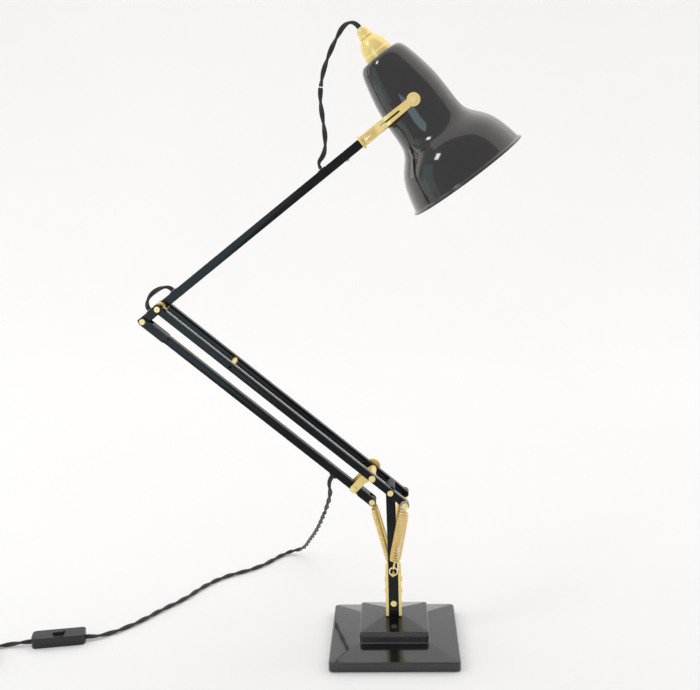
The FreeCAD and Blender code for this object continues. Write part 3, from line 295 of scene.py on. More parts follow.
brass = metal("satin_brass", (1.0, 0.80, 0.34), (0.95, 0.71, 0.25), 0.32, metallic=0.4)
brass_bright = metal("bright_brass", (1.0, 0.86, 0.42), (1.0, 0.78, 0.32), 0.24, grain=(300, 300, 300),
                     metallic=0.3)
brass_wire = metal("spring_brass", (1.0, 0.80, 0.36), (0.84, 0.61, 0.22), 0.20, grain=(900, 900, 900),
                   metallic=0.75)
steel = metal("plain_steel", (0.66, 0.65, 0.63), (0.42, 0.41, 0.40), 0.32)
iron = metal("cast_iron", (0.16, 0.155, 0.15), (0.07, 0.07, 0.07), 0.62, bump=0.5)
print("metals ready")

# %% [markdown]
# ## Plastics, rubber, glass and the cord's braid
# The switch and plug are moulded: very fine even grain. The bulb is frosted glass, and the lampholder is
# glazed white. The cord's braid follows the cord, so its pattern reads two values stored on the mesh:
# the distance along the strand and the turn around it. Two sets of slanted threads cross over each other.

# %% Soft and moulded finishes


def moulded(name, colour, lighter, rough, grain=2400.0, bump=0.18):
    """Moulded plastic or rubber: fine even grain and slight wear."""
    material, shader, start = new_finish(name, Roughness=rough, IOR=1.46)
    cloud = noise(start, 90.0, 4.0)
    fine = noise(start, grain, 2.0)
    feed(shader, Base_Color=cloud.mix(colour, lighter), Roughness=(rough - 0.08) + 0.16 * cloud,
         Normal=bumped(start, fine, bump, 0.00005))
    return material


black_plastic = moulded("switch_plastic", (0.010, 0.010, 0.011), (0.020, 0.020, 0.022), 0.36)
dark_rubber = moulded("pad_rubber", (0.016, 0.016, 0.016), (0.035, 0.034, 0.033), 0.8, 900.0, 0.5)
white_glaze = moulded("white_glaze", (0.80, 0.79, 0.75), (0.88, 0.87, 0.84), 0.18, 500.0, 0.05)
milky_plastic = moulded("milky_bush", (0.72, 0.70, 0.62), (0.85, 0.83, 0.76), 0.3, 1500.0, 0.1)
white_lining = moulded("shade_lining", (0.78, 0.78, 0.76), (0.86, 0.86, 0.84), 0.42, 700.0, 0.12)


def braid():
    """Braided cotton: height = the higher of two slanted thread waves; roughness follows it, and so does the
    colour, darker in the grooves between threads as painted shade.
    """
    material, shader, start = new_finish("braided_cotton", Roughness=0.85, Sheen_Weight=0.3,
                                         Sheen_Roughness=0.5)
    along = start.node("ShaderNodeAttribute", {"attribute_name": "along"}, out=2)
    around = start.node("ShaderNodeAttribute", {"attribute_name": "around"}, out=2)
    lean = around * 8.0
    rate = 2 * math.pi / 0.0019
    one = (along * rate + lean * (2 * math.pi)).math("SINE")
    two = (along * rate - lean * (2 * math.pi)).math("SINE")
    height = one.math("MAXIMUM", two) * 0.5 + 0.5
    fuzz = noise(start, 1500.0, 2.0)
    # Colour lighter on the thread crowns and darker in the grooves: painted shade; the fuzz adds random tone.
    feed(shader, Base_Color=(height * 0.7 + fuzz * 0.3).clamp().mix((0.004, 0.004, 0.005),
                                                                    (0.030, 0.030, 0.033)),
         Roughness=0.95 - 0.2 * height, Normal=bumped(start, height * 0.8 + fuzz * 0.2, 0.6, 0.00022))
    return material


cotton = braid()


def frosted():
    """Frosted lamp glass: pale, slightly see-through, with a faint mottling."""
    material, shader, start = new_finish("frosted_glass", Roughness=0.35, Transmission_Weight=0.55, IOR=1.45)
    cloud = noise(start, 140.0, 3.0)
    feed(shader, Base_Color=cloud.mix((0.86, 0.85, 0.82), (0.96, 0.95, 0.93)), Roughness=0.28 + 0.15 * cloud)
    return material


frosted_glass = frosted()
print("materials:", len(bpy.data.materials))

# %% [markdown]
# ## From a formula to a mesh
# Every new piece is a grid of points: a function of two parameters, or a section carried along a path.
# One function turns such a grid into a mesh. Where a grid closes on itself or shrinks to a point, the doubles
# are merged and the normals are then made to face outwards.

# %% Grid to mesh


def surface(name, grids, material, body, stands_for=(), sharp=32, wrap=True, **attributes):
    """One piece from one or more (rows, columns, 3) grids in mm; the columns close on themselves."""
    grids = grids if isinstance(grids, list) else [grids]
    verts, faces, first = [], [], 0
    for grid in grids:
        rows, columns = grid.shape[:2]
        index = first + np.arange(rows * columns).reshape(rows, columns)
        after = np.roll(index, -1, axis=1) if wrap else index
        a, b, c, d = index[:-1], after[:-1], after[1:], index[1:]
        if not wrap:
            a, b, c, d = index[:-1, :-1], index[:-1, 1:], index[1:, 1:], index[1:, :-1]
        faces.append(np.stack([a, b, c, d], axis=-1).reshape(-1, 4))
        verts.append(grid.reshape(-1, 3) * MM)
        first += rows * columns
    mesh = bpy.data.meshes.new(name)
    mesh.from_pydata(np.concatenate(verts).tolist(), [], np.concatenate(faces).tolist())
    for key, values in attributes.items():
        layer = mesh.attributes.new(key, "FLOAT", "POINT")
        layer.data.foreach_set("value", np.concatenate([np.ravel(v) for v in values]).astype(np.float32))
    shell = bmesh.new()
    shell.from_mesh(mesh)
    bmesh.ops.remove_doubles(shell, verts=shell.verts, dist=2e-6)
    bmesh.ops.dissolve_degenerate(shell, edges=shell.edges, dist=1e-7)
    bmesh.ops.recalc_face_normals(shell, faces=shell.faces)
    shell.to_mesh(mesh)
    shell.free()
    mesh.materials.append(material)
    mesh.polygons.foreach_set("use_smooth", [True] * len(mesh.polygons))
    mesh.set_sharp_from_angle(angle=math.radians(sharp))
    piece = bpy.data.objects.new(name, mesh)
    bpy.context.scene.collection.objects.link(piece)
    if body:
        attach(piece, body)
    if stands_for:
        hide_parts(*stands_for)
    print(f"{name}: {len(mesh.vertices)} points, {len(mesh.polygons)} faces")
    return piece


def placed(local, origin, along_x, along_y, along_z):
    """Move a grid from its own axes to an origin and three directions."""
    return origin + local[..., 0:1] * along_x + local[..., 1:2] * along_y + local[..., 2:3] * along_z


def unit(way):
    """A direction of length one: the vector divided by its own length."""
    return way / np.linalg.norm(way)


def softened(corners, radius, steps=4):
    """A polyline with each inner corner replaced by a short curve: a quadratic blend of its three points."""
    corners = np.asarray(corners, float)
    radii = np.broadcast_to(np.asarray(radius, float), (len(corners),))
    line = [corners[:1]]
    t = np.linspace(0, 1, steps + 1)[:, None]
    for before, corner, after, r in zip(corners, corners[1:], corners[2:], radii[1:]):
        back, ahead = before - corner, after - corner
        reach = min(r, 0.49 * np.linalg.norm(back), 0.49 * np.linalg.norm(ahead))
        enter = corner + unit(back) * reach
        leave = corner + unit(ahead) * reach
        line.append((1 - t) ** 2 * enter + 2 * t * (1 - t) * corner + t * t * leave)
    line.append(corners[-1:])
    return np.concatenate(line)


def turned(profile, steps=72):
    """A surface of revolution about its own Z: (r cos a, r sin a, z) for each (r, z) of the profile."""
    a = np.linspace(0, 2 * math.pi, steps, endpoint=False)
    r, z = profile[:, 0:1], profile[:, 1:2]
    return np.stack([r * np.cos(a), r * np.sin(a), z + 0 * a], axis=-1)


def flat_bar(length, radius, thick, edge=0.7, columns=20):
    """A round-ended flat bar: an offset d from its middle line, paired with a depth across its thickness."""
    a = np.concatenate([np.linspace(-math.pi / 2, math.pi / 2, columns),
                        np.linspace(math.pi / 2, 3 * math.pi / 2, columns)])
    centre = np.where(np.arange(len(a)) < columns, length, 0.0)
    half = thick / 2
    rim = softened([(0, -half), (radius, -half), (radius, half), (0, half)], edge)
    d, y = rim[:, 0:1], rim[:, 1:2]
    return np.stack([centre + d * np.cos(a), y + 0 * a, d * np.sin(a)], axis=-1)


def rounded_square(half_x, half_y, corner, columns=6):
    """One closed outline: the four corner arcs of a rectangle with rounded corners."""
    q = np.linspace(0, math.pi / 2, columns)
    quarters = []
    for sign_x, sign_y, start in ((1, 1, 0), (-1, 1, 90), (-1, -1, 180), (1, -1, 270)):
        a = q + math.radians(start)
        quarters.append(np.stack([sign_x * (half_x - corner) + corner * np.cos(a),
                                  sign_y * (half_y - corner) + corner * np.sin(a)], axis=-1))
    return np.concatenate(quarters)


def square_bar(length, half_y, half_z, corner=0.8, end=0.5):
    """A square bar along its X: rounded sections, drawn in a little at both ends and closed on the axis."""
    rows = []
    for x, share in ((0, 0.0), (0, 0.6), (0, 1.0), (end, 1.0),
                     (length - end, 1.0), (length, 1.0), (length, 0.6), (length, 0.0)):
        shrink = end if x in (0, length) else 0.0
        outline = rounded_square(half_y - shrink, half_z - shrink, max(corner - shrink, 0.2)) * share
        rows.append(np.column_stack([np.full(len(outline), float(x)), outline]))
    return np.stack(rows)


def square_axes(path, up):
    """Two unit directions square to a path at each point: side = tangent x up, over = side x tangent."""
    tangent = np.gradient(path, axis=0)
    tangent /= np.linalg.norm(tangent, axis=1, keepdims=True)
    side = np.cross(tangent, up)
    side /= np.linalg.norm(side, axis=1, keepdims=True)
    return side, np.cross(side, tangent)


def carried(path, radius, sides, up):
    """A round section of the given radius carried along a path; the ends shrink to a point.

    Each point is path + radius * (cos a * side + sin a * over), where side and over are square to the path.
    """
    side, over = square_axes(path, up)
    a = np.linspace(0, 2 * math.pi, sides, endpoint=False)[None, :, None]
    r = np.full(len(path), float(radius))
    r[0] = r[-1] = 0.0
    return path[:, None] + r[:, None, None] * (np.cos(a) * side[:, None] + np.sin(a) * over[:, None])


print("surface helpers ready")

# %% [markdown]
# ## The lead and the two short cords
# The lead is two cotton-covered cores twisted together. A real cord hangs and lies in one smooth line, so its
# route is a single NURBS curve through a few corner points. Each core is then a helix around that line:
# it could be an array of curved segments, but a helix worked out from the line's own points never gaps.

# %% Routes as smooth lines
CORD = 5.6  # diameter of the twisted pair
CORE, CORE_OFFSET = 1.55, 1.25  # a core's radius, and its distance from the pair's middle line
TWIST = 46.0  # length of one full turn of the pair
CORE_SIDES = 9


def smooth_line(name, points, detail=14):
    """The points of a NURBS spline of order 3 with these control points, in mm."""
    curve = bpy.data.curves.new(name, "CURVE")
    curve.dimensions = "3D"
    curve.resolution_u = detail
    spline = curve.splines.new("NURBS")
    points = np.asarray(points, float)
    spline.points.add(len(points) - 1)
    spline.points.foreach_set("co", np.column_stack([points * MM, np.ones(len(points))]).ravel())
    spline.use_endpoint_u = True
    spline.order_u = 3
    holder = bpy.data.objects.new(name, curve)
    mesh = bpy.data.meshes.new_from_object(holder)
    found = np.empty(len(mesh.vertices) * 3)
    mesh.vertices.foreach_get("co", found)
    bpy.data.objects.remove(holder)
    bpy.data.curves.remove(curve)
    bpy.data.meshes.remove(mesh)
    return found.reshape(-1, 3) / MM


def distances(line):
    """How far along a line each of its points is."""
    return np.concatenate([[0.0], np.cumsum(np.linalg.norm(np.diff(line, axis=0), axis=1))])


def twisted_cord(name, route, body, stands_for, up, start_turn=0.0):
    """Two braided cores wound about a route: core centre = line + offset * (cos w * side + sin w * over)."""
    line = smooth_line(name, route)
    at = distances(line)
    side, over = square_axes(line, up)
    w = (at / TWIST) * 2 * math.pi + start_turn
    grids, along, around = [], [], []
    for half_turn in (0.0, math.pi):
        angle = (w + half_turn)[:, None]
        core = line + CORE_OFFSET * (np.cos(angle) * side + np.sin(angle) * over)
        grids.append(carried(core, CORE, CORE_SIDES, up))
        along.append(np.repeat(at * MM, CORE_SIDES))
        around.append(np.tile(np.arange(CORE_SIDES) / CORE_SIDES, len(at)))
    piece = surface(name, grids, cotton, body, stands_for, sharp=60, along=along, around=around)
    print(f"{name}: {at[-1]:.0f} mm long")
    return piece, line * MM, at[-1] * MM


# %% [markdown]
# The lead leaves the link bar through a bush, falls behind the lamp, turns on the table and runs to the
# switch. Its spare length is wound in a neat coil of a little over five turns, two wide and three high, and
# the plug lies beside it. Each turn ends by stepping over to the next place, so no turn has to cross another.

# %% The lead's route
GROMMET = np.array([-68.45, 0, 208.38])
GROMMET_OUT = np.array([-0.649, 0, -0.760])
DROP_END = np.array([-82.8, 55.6, 143.8])
FALL = np.array([-0.178, 0.787, -0.590])
FLOOR = CORD / 2 + 0.1
SWITCH_IN = np.array([-377, 4.6, 5.2])
SWITCH_TURN = math.radians(190.5)
SWITCH_AHEAD = np.array([math.cos(SWITCH_TURN), math.sin(SWITCH_TURN), 0])
SWITCH_LEFT = np.array([-SWITCH_AHEAD[1], SWITCH_AHEAD[0], 0])
SWITCH_LONG = 63
switch_out = SWITCH_IN + SWITCH_AHEAD * SWITCH_LONG
coil_touch = switch_out + SWITCH_AHEAD * 80
coil_touch[2] = FLOOR
COIL_R = 31.0
STEP_SHARE = 0.16  # the part of a turn in which the cord steps to its next place
coil_middle = coil_touch + SWITCH_LEFT * (COIL_R + CORD / 2)
coil_side = np.array([coil_middle[0] - COIL_R - CORD / 2, coil_middle[1], FLOOR + CORD])
plug_in = np.array([coil_side[0] + 1.6, coil_side[1] - 66, 7.6])


def coil_points(turns=5, per_turn=16):
    """Corner points of the wound part: a circle whose radius and height step to the next place each turn."""
    start = math.atan2(*(coil_touch - coil_middle)[1::-1])
    finish = math.pi + 2 * math.pi * turns
    a = np.linspace(start, finish, int((finish - start) / (2 * math.pi) * per_turn))
    place = (a - start) / (2 * math.pi)
    whole = np.floor(place)
    share = np.clip((place - whole - (1 - STEP_SHARE)) / STEP_SHARE, 0, 1)
    share = share * share * (3 - 2 * share)
    radii = COIL_R + CORD / 2 * np.array([1, -1, -1, -1, 1, 1, 1.0])
    heights = FLOOR + CORD * np.array([0, 0, 1, 2, 2, 1, 1.0])
    k = whole.astype(int)
    r = (radii[k] * (1 - share) + radii[k + 1] * share) / math.cos(math.pi / per_turn) ** 0.5
    z = heights[k] * (1 - share) + heights[k + 1] * share
    return np.column_stack([coil_middle[0] + r * np.cos(a), coil_middle[1] + r * np.sin(a), z])


DROP_ROUTE = [GROMMET, GROMMET + GROMMET_OUT * 8, (-71.5, 7, 186), DROP_END - FALL * 32, DROP_END]
RUN_ROUTE = [
    DROP_END, DROP_END + FALL * 45, (-104, 146, 79.5), (-116, 195, 50), (-124, 230, 28),
    (-133, 256, 11), (-152, 265, 3.5), (-168, 247, FLOOR), (-182, 223, FLOOR), (-205, 200, FLOOR),
    (-232, 184, FLOOR), (-258, 152, FLOOR), (-276, 112, FLOOR), (-301, 80, FLOOR), (-322, 46, FLOOR),
    (-346, 20, FLOOR), (-364, 7, 4), SWITCH_IN,
]
TAIL_ROUTE = [
    SWITCH_IN + SWITCH_AHEAD * 30, switch_out, switch_out + SWITCH_AHEAD * 17 - Z * 0.6,
    switch_out + SWITCH_AHEAD * 35 - Z * 2.2, coil_touch - SWITCH_AHEAD * 26,
]
lead_route = np.concatenate([RUN_ROUTE, TAIL_ROUTE, coil_points(), [coil_side - Y * 20, coil_side - Y * 26,
                             coil_side - Y * 39 - Z * 0.4, plug_in + Y * 13, plug_in]])
LEAN = np.array([0.55, 0.45, 0.70])
lead_upper, upper_line, upper_long = twisted_cord("lead_hanging", DROP_ROUTE, None, ("lead_drop",), LEAN)
lead_lower, lower_line, lower_long = twisted_cord(
    "lead_resting", lead_route, None, ("lead_run", "lead_tail", "lead_coil", "plug_cord"), LEAN,
    start_turn=upper_long / MM / TWIST * 2 * math.pi)
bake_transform(lead_upper)
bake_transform(lead_lower)

# %% [markdown]
# Two short cords show at the joints: one loops from the shade's cap down into the upper tube, the other
# carries the lead around the elbow bolt. The head's loop crosses two joints and is made in two halves that
# meet at one point and run through it in the same direction. The elbow's loop has both of its ends on one
# tube, so it simply rides on it.

# %% The short cords
TUBE_HALF, BUSH_SUNK, BUSH_HIGH = 5, 1.1, 1.8


def bush_mouth(at):
    """Where a cord meets its bush on the upper side of the tube, a distance from the elbow."""
    return ELBOW + UP * at + ABOVE_TUBE * (TUBE_HALF - BUSH_SUNK + BUSH_HIGH)


GLAND_MOUTH = SHADE_TOP - SHADE_DOWN * 36.4
head_in = bush_mouth(238)
LOOP_MIDDLE = np.array([-68, 0, 648])
HEAD_ROUTE = [GLAND_MOUTH, GLAND_MOUTH - SHADE_DOWN * 8, (-40.5, 0, 713), (-50.5, 0, 697), (-59.5, 0, 679),
              (-66.5, 0, 659), LOOP_MIDDLE]
TUBE_ROUTE = [LOOP_MIDDLE, (-69.5, 0, 637), (-67, 0, 615), (-64.5, 0, 594), (-66, 0, 577),
              head_in + ABOVE_TUBE * 7, head_in]
elbow_out, elbow_in = bush_mouth(22), bush_mouth(-13.5)
ELBOW_ROUTE = [elbow_out, elbow_out + ABOVE_TUBE * 6, (-258, 0, 433), (-269.5, 0, 425),
               elbow_in + ABOVE_TUBE * 6,
               elbow_in]
head_cord, head_line, head_long = twisted_cord("head_loop", HEAD_ROUTE, None, ("head_cord",), Y)
tube_cord, tube_line, tube_long = twisted_cord("tube_loop", TUBE_ROUTE, None, ("head_cord",), Y,
                                               start_turn=head_long / MM / TWIST * 2 * math.pi)
elbow_cord, elbow_line, elbow_long = twisted_cord("elbow_loop", ELBOW_ROUTE, "upper_arm", ("elbow_cord",), Y)
GLAND_MOUTH * MM
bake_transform(head_cord)
head_in * MM
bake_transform(tube_cord)
print("cord lengths:", [round(v, 3) for v in (upper_long, lower_long, head_long, tube_long, elbow_long)])

# %% [markdown]
# ## The bell shade
# The shade is spun from one disc of metal over a former, so its outline is a smooth curve turned about an
# axis. Taking the curve's points as a fine profile and turning them gives both skins: black enamel outside,
# a pale lining inside, joined by a rolled rim with a bead.

# %% Shade
SHADE_OUTLINE = np.array([
    (0, 22.5), (1.6, 25.2), (7, 28), (14, 30), (20, 31.6), (32, 34.2), (44, 36.4), (56, 37.6), (70, 38.2),
    (84, 38.5), (92, 39.2), (97, 40.4), (103, 43.8), (109, 49.2), (115.5, 54.6), (122, 58.7), (129, 61.7),
    (136, 64.0), (144, 66.0), (152, 67.8), (158, 69.2),
])
RIM_S, RIM_R, BEAD_R = 157.9, 69.7, 1.5  # the rolled rim: how far down, how far out, and its wire's radius
shade_side = X * SHADE_DOWN[2] * -1 + Z * SHADE_DOWN[0]
outline = smooth_line("outline", np.column_stack([SHADE_OUTLINE, np.zeros(len(SHADE_OUTLINE))]), 8)
a = np.linspace(-0.5 * math.pi, 1.15 * math.pi, 18)
bead = np.column_stack([RIM_S + BEAD_R * np.sin(a), RIM_R + BEAD_R * np.cos(a)])
outside = np.concatenate([[(1.0, 8.0), (0.0, 8.0)], outline[:-2, :2], bead])[:, ::-1]
inner_s = outline[8:-1, 0]
inner_r = outline[8:-1, 1] - 1.0
inside = np.column_stack([inner_r, inner_s])
lining_profile = np.concatenate([[(8.0, 1.0), (inner_r[0] - 2.5, 1.0)], inside, [(68.6, 158.4)]])
surface("shade_shell", placed(turned(outside, 160), SHADE_TOP, Y, shade_side, SHADE_DOWN),
        bell_finish_painted_reflection, "head", ("shade",), sharp=50)
surface("shade_lining", placed(turned(lining_profile, 160), SHADE_TOP, Y, shade_side, SHADE_DOWN),
        white_lining, "head", sharp=50)

# %% [markdown]
# ## Cap, gland, lampholder and bulb
# The brass cap is turned on a lathe: a straight foot, a step, a dome, then a separate nut that grips the
# cord. Each is a short list of corners softened with small curves and turned about the shade's axis.

# %% Head fittings
shade_up = -SHADE_DOWN


def on_shade(profile, steps=72, upwards=True):
    """A turned profile placed on the shade's axis, counted up or down from its top."""
    along = shade_up if upwards else SHADE_DOWN
    return placed(turned(profile, steps), SHADE_TOP, Y, np.cross(along, Y), along)


CAP_PROFILE = softened(
    [(3, 0.1), (15.4, 0.1), (15.75, 5.2), (14.5, 6.4), (14.6, 9.6), (14.1, 13.4), (12.6, 18.2), (9.6, 22.4),
     (7.0, 24.0), (3, 24.0)], [1, .4, .6, .5, 1.5, 2, 2.5, 2, .8, 1], 6)
NUT_PROFILE = softened(
    [(3, 24.0), (7.6, 24.0), (7.8, 25.4), (7.0, 26.4), (6.3, 33.0), (5.2, 35.0), (3, 35.0)], .9)
SLEEVE_PROFILE = softened([(2.0, 32.5), (4.2, 32.5), (4.3, 35.4), (3.3, 36.4), (2.0, 36.4)], .4)
HOLDER_PROFILE = softened(
    [(0, 1.2), (15, 1.2), (19, 4), (19, 30), (20.5, 31), (20.5, 40), (19, 42), (15.5, 42), (15.5, 14),
     (0, 14)], .8)
BULB_PROFILE = softened(
    [(0, 18), (12.6, 18.5), (12.8, 30), (13.2, 44), (17, 60), (24, 78), (30, 92), (30.3, 106), (25, 121),
     (15, 130), (0, 132)], [1, 2, 6, 8, 9, 10, 9, 9, 9, 9, 1], 8)
surface("cap_turned", on_shade(CAP_PROFILE), brass, "head", ("cap",))
surface("gland_nut", on_shade(NUT_PROFILE), brass, "head", ("cord_gland",))
surface("milky_sleeve", on_shade(SLEEVE_PROFILE), milky_plastic, "head", ("cord_sleeve",))
surface("lampholder_body", on_shade(HOLDER_PROFILE, upwards=False), white_glaze, "head", ("lampholder",))
surface("bulb_glass", on_shade(BULB_PROFILE, 96, upwards=False), frosted_glass, "head", ("bulb",))

# %% [markdown]
# ## Springs
# Four extension springs balance the arms. Each is one wire: a close helix that narrows at both ends, and a
# hook at each end. The helix is angle-driven: its centre moves along the spring while the radius follows a
# barrel curve. The coils stretch between their two hooks, which ride on bodies of their own.

# %% Springs
TAPER_END = 0.16  # the part of a spring's length over which its radius narrows, at each end


def helix(start, end, radius, turns, wire, taper, per_turn=22):
    """A wire wound from start to end; its radius drops to a share of itself near both ends."""
    axis = unit(end - start)
    side = np.cross(axis, Y)
    t = np.linspace(0, 1, int(turns * per_turn))[:, None]
    drop = np.clip(1 - t / TAPER_END, 0, 1) ** 1.6 + np.clip(1 - (1 - t) / TAPER_END, 0, 1) ** 1.6
    barrel = radius * (1 - taper * drop)
    a = 2 * math.pi * turns * t
    path = start + (end - start) * t + barrel * (np.cos(a) * side + np.sin(a) * Y)
    return carried(path, wire / 2, 7, axis)


def wire_ring(centre, radius, wire, normal, shank_to, gap=50):
    """An open wire hook: most of a circle about a normal, whose end runs on along the spring's axis."""
    away = unit(shank_to - centre)
    across = np.cross(normal, away)
    a = np.radians(np.linspace(-180 + gap, 165, 40))[:, None]
    circle = centre + radius * (np.cos(a) * -away + np.sin(a) * across)
    lead_in = np.linspace(circle[-1], shank_to, 10)[1:]
    return carried(np.concatenate([circle, lead_in]), wire / 2, 9, normal + 0.01 * away)


FRONT_COIL = {"radius": 5.85, "turns": 20, "wire": 2.05, "taper": 0.22}
REAR_COIL = {"radius": 3.7, "turns": 46, "wire": 1.5, "taper": 0.15}
PIN_OUT, EYE_OUT, REAR_OUT = 24.8, 24, 4.6  # how far each spring end stands from the arm's middle plane
EYE_RAISED = np.array([0.6, 0, 6.2])
REAR_ANCHOR = np.array([-0.36, 0, 91.0])
for side, sign in (("near", -1), ("far", 1)):
    pin = SPRING_PIN + Y * sign * PIN_OUT
    eye = ANCHOR + Y * sign * EYE_OUT + EYE_RAISED
    way = unit(pin - eye)
    low, high = eye + way * 5.8, pin - way * 8.2
    coil = surface(f"front_coil_{side}", helix(low, high, **FRONT_COIL), brass_wire, None, sharp=80)
    low * MM
    high * MM
    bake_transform(coil)
    surface(f"front_hook_{side}", wire_ring(pin, 4.6, 1.4, Y, high + way * 1.5), steel, "front_hooks",
            sharp=80)
    surface(f"front_tail_{side}", wire_ring(eye, 3.2, 2.0, X, low + way * 2), brass_wire, "front_tails",
            sharp=80)
    hang = LINK_FOOT + Y * sign * REAR_OUT
    rear = REAR_ANCHOR + Y * sign * REAR_OUT
    way = unit(rear - hang)
    top, bottom = hang + way * 8.5, rear - way * 9
    coil = surface(f"rear_coil_{side}", helix(top, bottom, **REAR_COIL), brass_wire, None, sharp=80)
    top * MM
    bottom * MM
    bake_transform(coil)
    surface(f"rear_hook_{side}", wire_ring(hang, 3.3, 1.1, Y, top + way * 3), steel, "rear_hooks", sharp=80)
    surface(f"rear_tail_{side}", wire_ring(rear, 2.9, 1.1, Y, rear - way * 44), brass_wire, "rear_tails",
            sharp=80)
for pair in ("front", "rear"):
    for part in ("coil", "hook", "tail"):
        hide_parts(f"{pair}_spring_{part}s")

# %% [markdown]
# ## The stepped base
# The cover is pressed steel: two square steps with sloping tops and soft hips. Its outline in plan is always
# a rounded square, so one profile of (half side, height, corner radius) gives the whole skin. The slopes'
# hips stay crisp because the corner radius is small there.

# %% Base cover


def soft_square(profile, columns=8):
    """A closed skin from rows of (half side, height, corner radius); a half side of zero closes it."""
    rows = []
    for half, height, corner in profile:
        outline = rounded_square(max(half, 0.0), max(half, 0.0), min(corner, max(half, 1e-6)), columns)
        rows.append(np.column_stack([outline, np.full(len(outline), height)]))
    return np.stack(rows)


COVER_PROFILE = softened(
    [(0, 0.8, 0.1), (73.2, 0.8, 4.4), (75, 0.8, 5), (75, 10.9, 5), (73.6, 11.9, 4), (41.2, 17.8, 2.4),
     (40.3, 18.6, 3.2), (40.3, 30.6, 3.4), (39.2, 31.5, 2.8), (11.0, 38.7, 1.2), (9.6, 39.0, 0.8),
     (0, 39.0, 0.1)], [0, .5, 1.4, 1.6, 1.6, 2.2, 2.2, 1.5, 1.5, 1, 1, 0], 5)
surface("base_skin", soft_square(COVER_PROFILE), enamel_black, "base", ("base_cover",), sharp=44)

# %% [markdown]
# ## Arms, post and links
# Bars with round ends are flat strips; the link bar and the upper arm are square tube. A mirror-like finish
# shows every edge as a bright line, so each gets a small rounded edge. The two parameters of a flat bar are
# the place around its outline and the place across its thickness.

# %% Bars and tubes


def bar_piece(name, first, last, y, radius, thick, material, body, stands_for=(), edge=0.7):
    """A round-ended bar from one pivot to another, its middle plane at y."""
    long, way = np.linalg.norm(last - first), unit(last - first)
    grid = placed(flat_bar(long, radius, thick, edge), first + Y * y, way, Y, np.cross(way, Y))
    return surface(name, grid, material, body, stands_for, sharp=40)


def tube_piece(name, first, last, half_y, half_z, body, stands_for=()):
    """A square tube between two points of the arm's plane, closed with flat plugs."""
    long, way = np.linalg.norm(last - first), unit(last - first)
    grid = placed(square_bar(long, half_y, half_z), first, way, Y, np.cross(way, Y))
    return surface(name, grid, arm_finish_painted_shade, body, stands_for, sharp=40)


BAR_OUT, BAR_RADIUS, BAR_THICK = 19, 4.1, 8
TAIL_RADIUS = 5.2
UPRIGHT_OUT, CHEEK_OUT = 13, 6.35
POST_FOOT = np.array([0, 0, 55.0])
lower_tail = SHOULDER - LOW * (SPRING_TAIL + TAIL_RADIUS - BAR_RADIUS)
for side, sign in (("near", -1), ("far", 1)):
    bar_piece(f"arm_bar_{side}", ELBOW, lower_tail, sign * BAR_OUT, BAR_RADIUS, BAR_THICK, arm_finish_painted_shade,
              "lower_arm", (f"lower_bar_{side}",))
    boss = softened([(0, -4), (5.4, -4), (5.4, 4), (0, 4)], 0.7)
    surface(f"elbow_boss_{side}", placed(turned(boss, 48), ELBOW + Y * sign * BAR_OUT, X, Z, Y), arm_finish_painted_shade,
            "lower_arm", sharp=40)
    bar_piece(f"upright_{side}", POST_FOOT, SHOULDER, sign * UPRIGHT_OUT, 5.3, 3, arm_finish_painted_shade, "post", (),
              edge=0.5)
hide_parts("post_bars")
link_way = unit(LINK_FOOT - LEVER_END)
tube_piece("link_tube", LEVER_END + link_way * 9.6, LINK_FOOT - link_way * 6.5, 5.2, 4.6, "link",
           ("link_bar",))
tube_piece("upper_tube_skin", LEVER_END - UP * 4.6, FORK_FOOT, TUBE_HALF, TUBE_HALF, "upper_arm",
           ("upper_tube",))
for side, sign in (("near", -1), ("far", 1)):
    for end, at, way, long in (("upper", LEVER_END, link_way, 30.8), ("lower", LINK_FOOT, -link_way, 17.0)):
        bar_piece(f"link_cheek_{end}_{side}", at, at + way * long, sign * CHEEK_OUT, 4.75, 2.3, arm_finish_painted_shade,
                  "link", (), edge=0.45)
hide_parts("link_plates")

# %% [markdown]
# ## Screws, pins and rivets
# Every pivot ends in a low brass head. Heads are turned: a flat face with a rounded rim and a small hollow at
# its centre, where the lathe's centre held it. One function makes a pin with its two heads.

# %% Pins


def head_profile(radius, high, dimple=0.0):
    """Half outline of a low round head, with an optional hollow at its centre."""
    corners = [(0, high - dimple), (radius * 0.16, high - dimple * 0.9), (radius * 0.26, high),
               (radius * 0.86, high),
               (radius, high * 0.55), (radius, 0), (0, 0)]
    return softened(corners, [0, .2, .2, .35, .35, .1, 0], 4)


def pin_piece(name, at, half_span, radius, body, stands_for, shank=2.4, high=1.6, material=brass_bright,
              dimple=0.5):
    """A pin across the arms with a turned head at each end."""
    grids = []
    for sign in (-1, 1):
        grids.append(placed(turned(head_profile(radius, high, dimple), 40), at + Y * sign * half_span, X, Z,
                            Y * sign))
    rod = softened([(0, -half_span - 0.2), (shank, -half_span - 0.2), (shank, half_span + 0.2),
                    (0, half_span + 0.2)], .1)
    grids.append(placed(turned(rod, 32), at, X, Z, Y))
    return surface(name, grids, material, body, stands_for, sharp=36)


HEAD_RADIUS = 3.45
pin_piece("shoulder_pin", SHOULDER, 23.1, HEAD_RADIUS, "post", ("shoulder_bolt",))
pin_piece("elbow_pin", ELBOW, 23, HEAD_RADIUS, "lower_arm", ("elbow_bolt",))
pin_piece("rocker_pin", ROCKER_FOOT, 11.3, HEAD_RADIUS, "rocker", ("rocker_screw",), shank=2.0, dimple=0.2)
for end, at in (("upper", LEVER_END), ("lower", LINK_FOOT)):
    pin_piece(f"link_pin_{end}", at, 7.5, HEAD_RADIUS, "link", ())
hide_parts("link_pins")
pin_piece("post_pin", POST_FOOT, 14.5, 3.7, "post", ("post_bolt",))

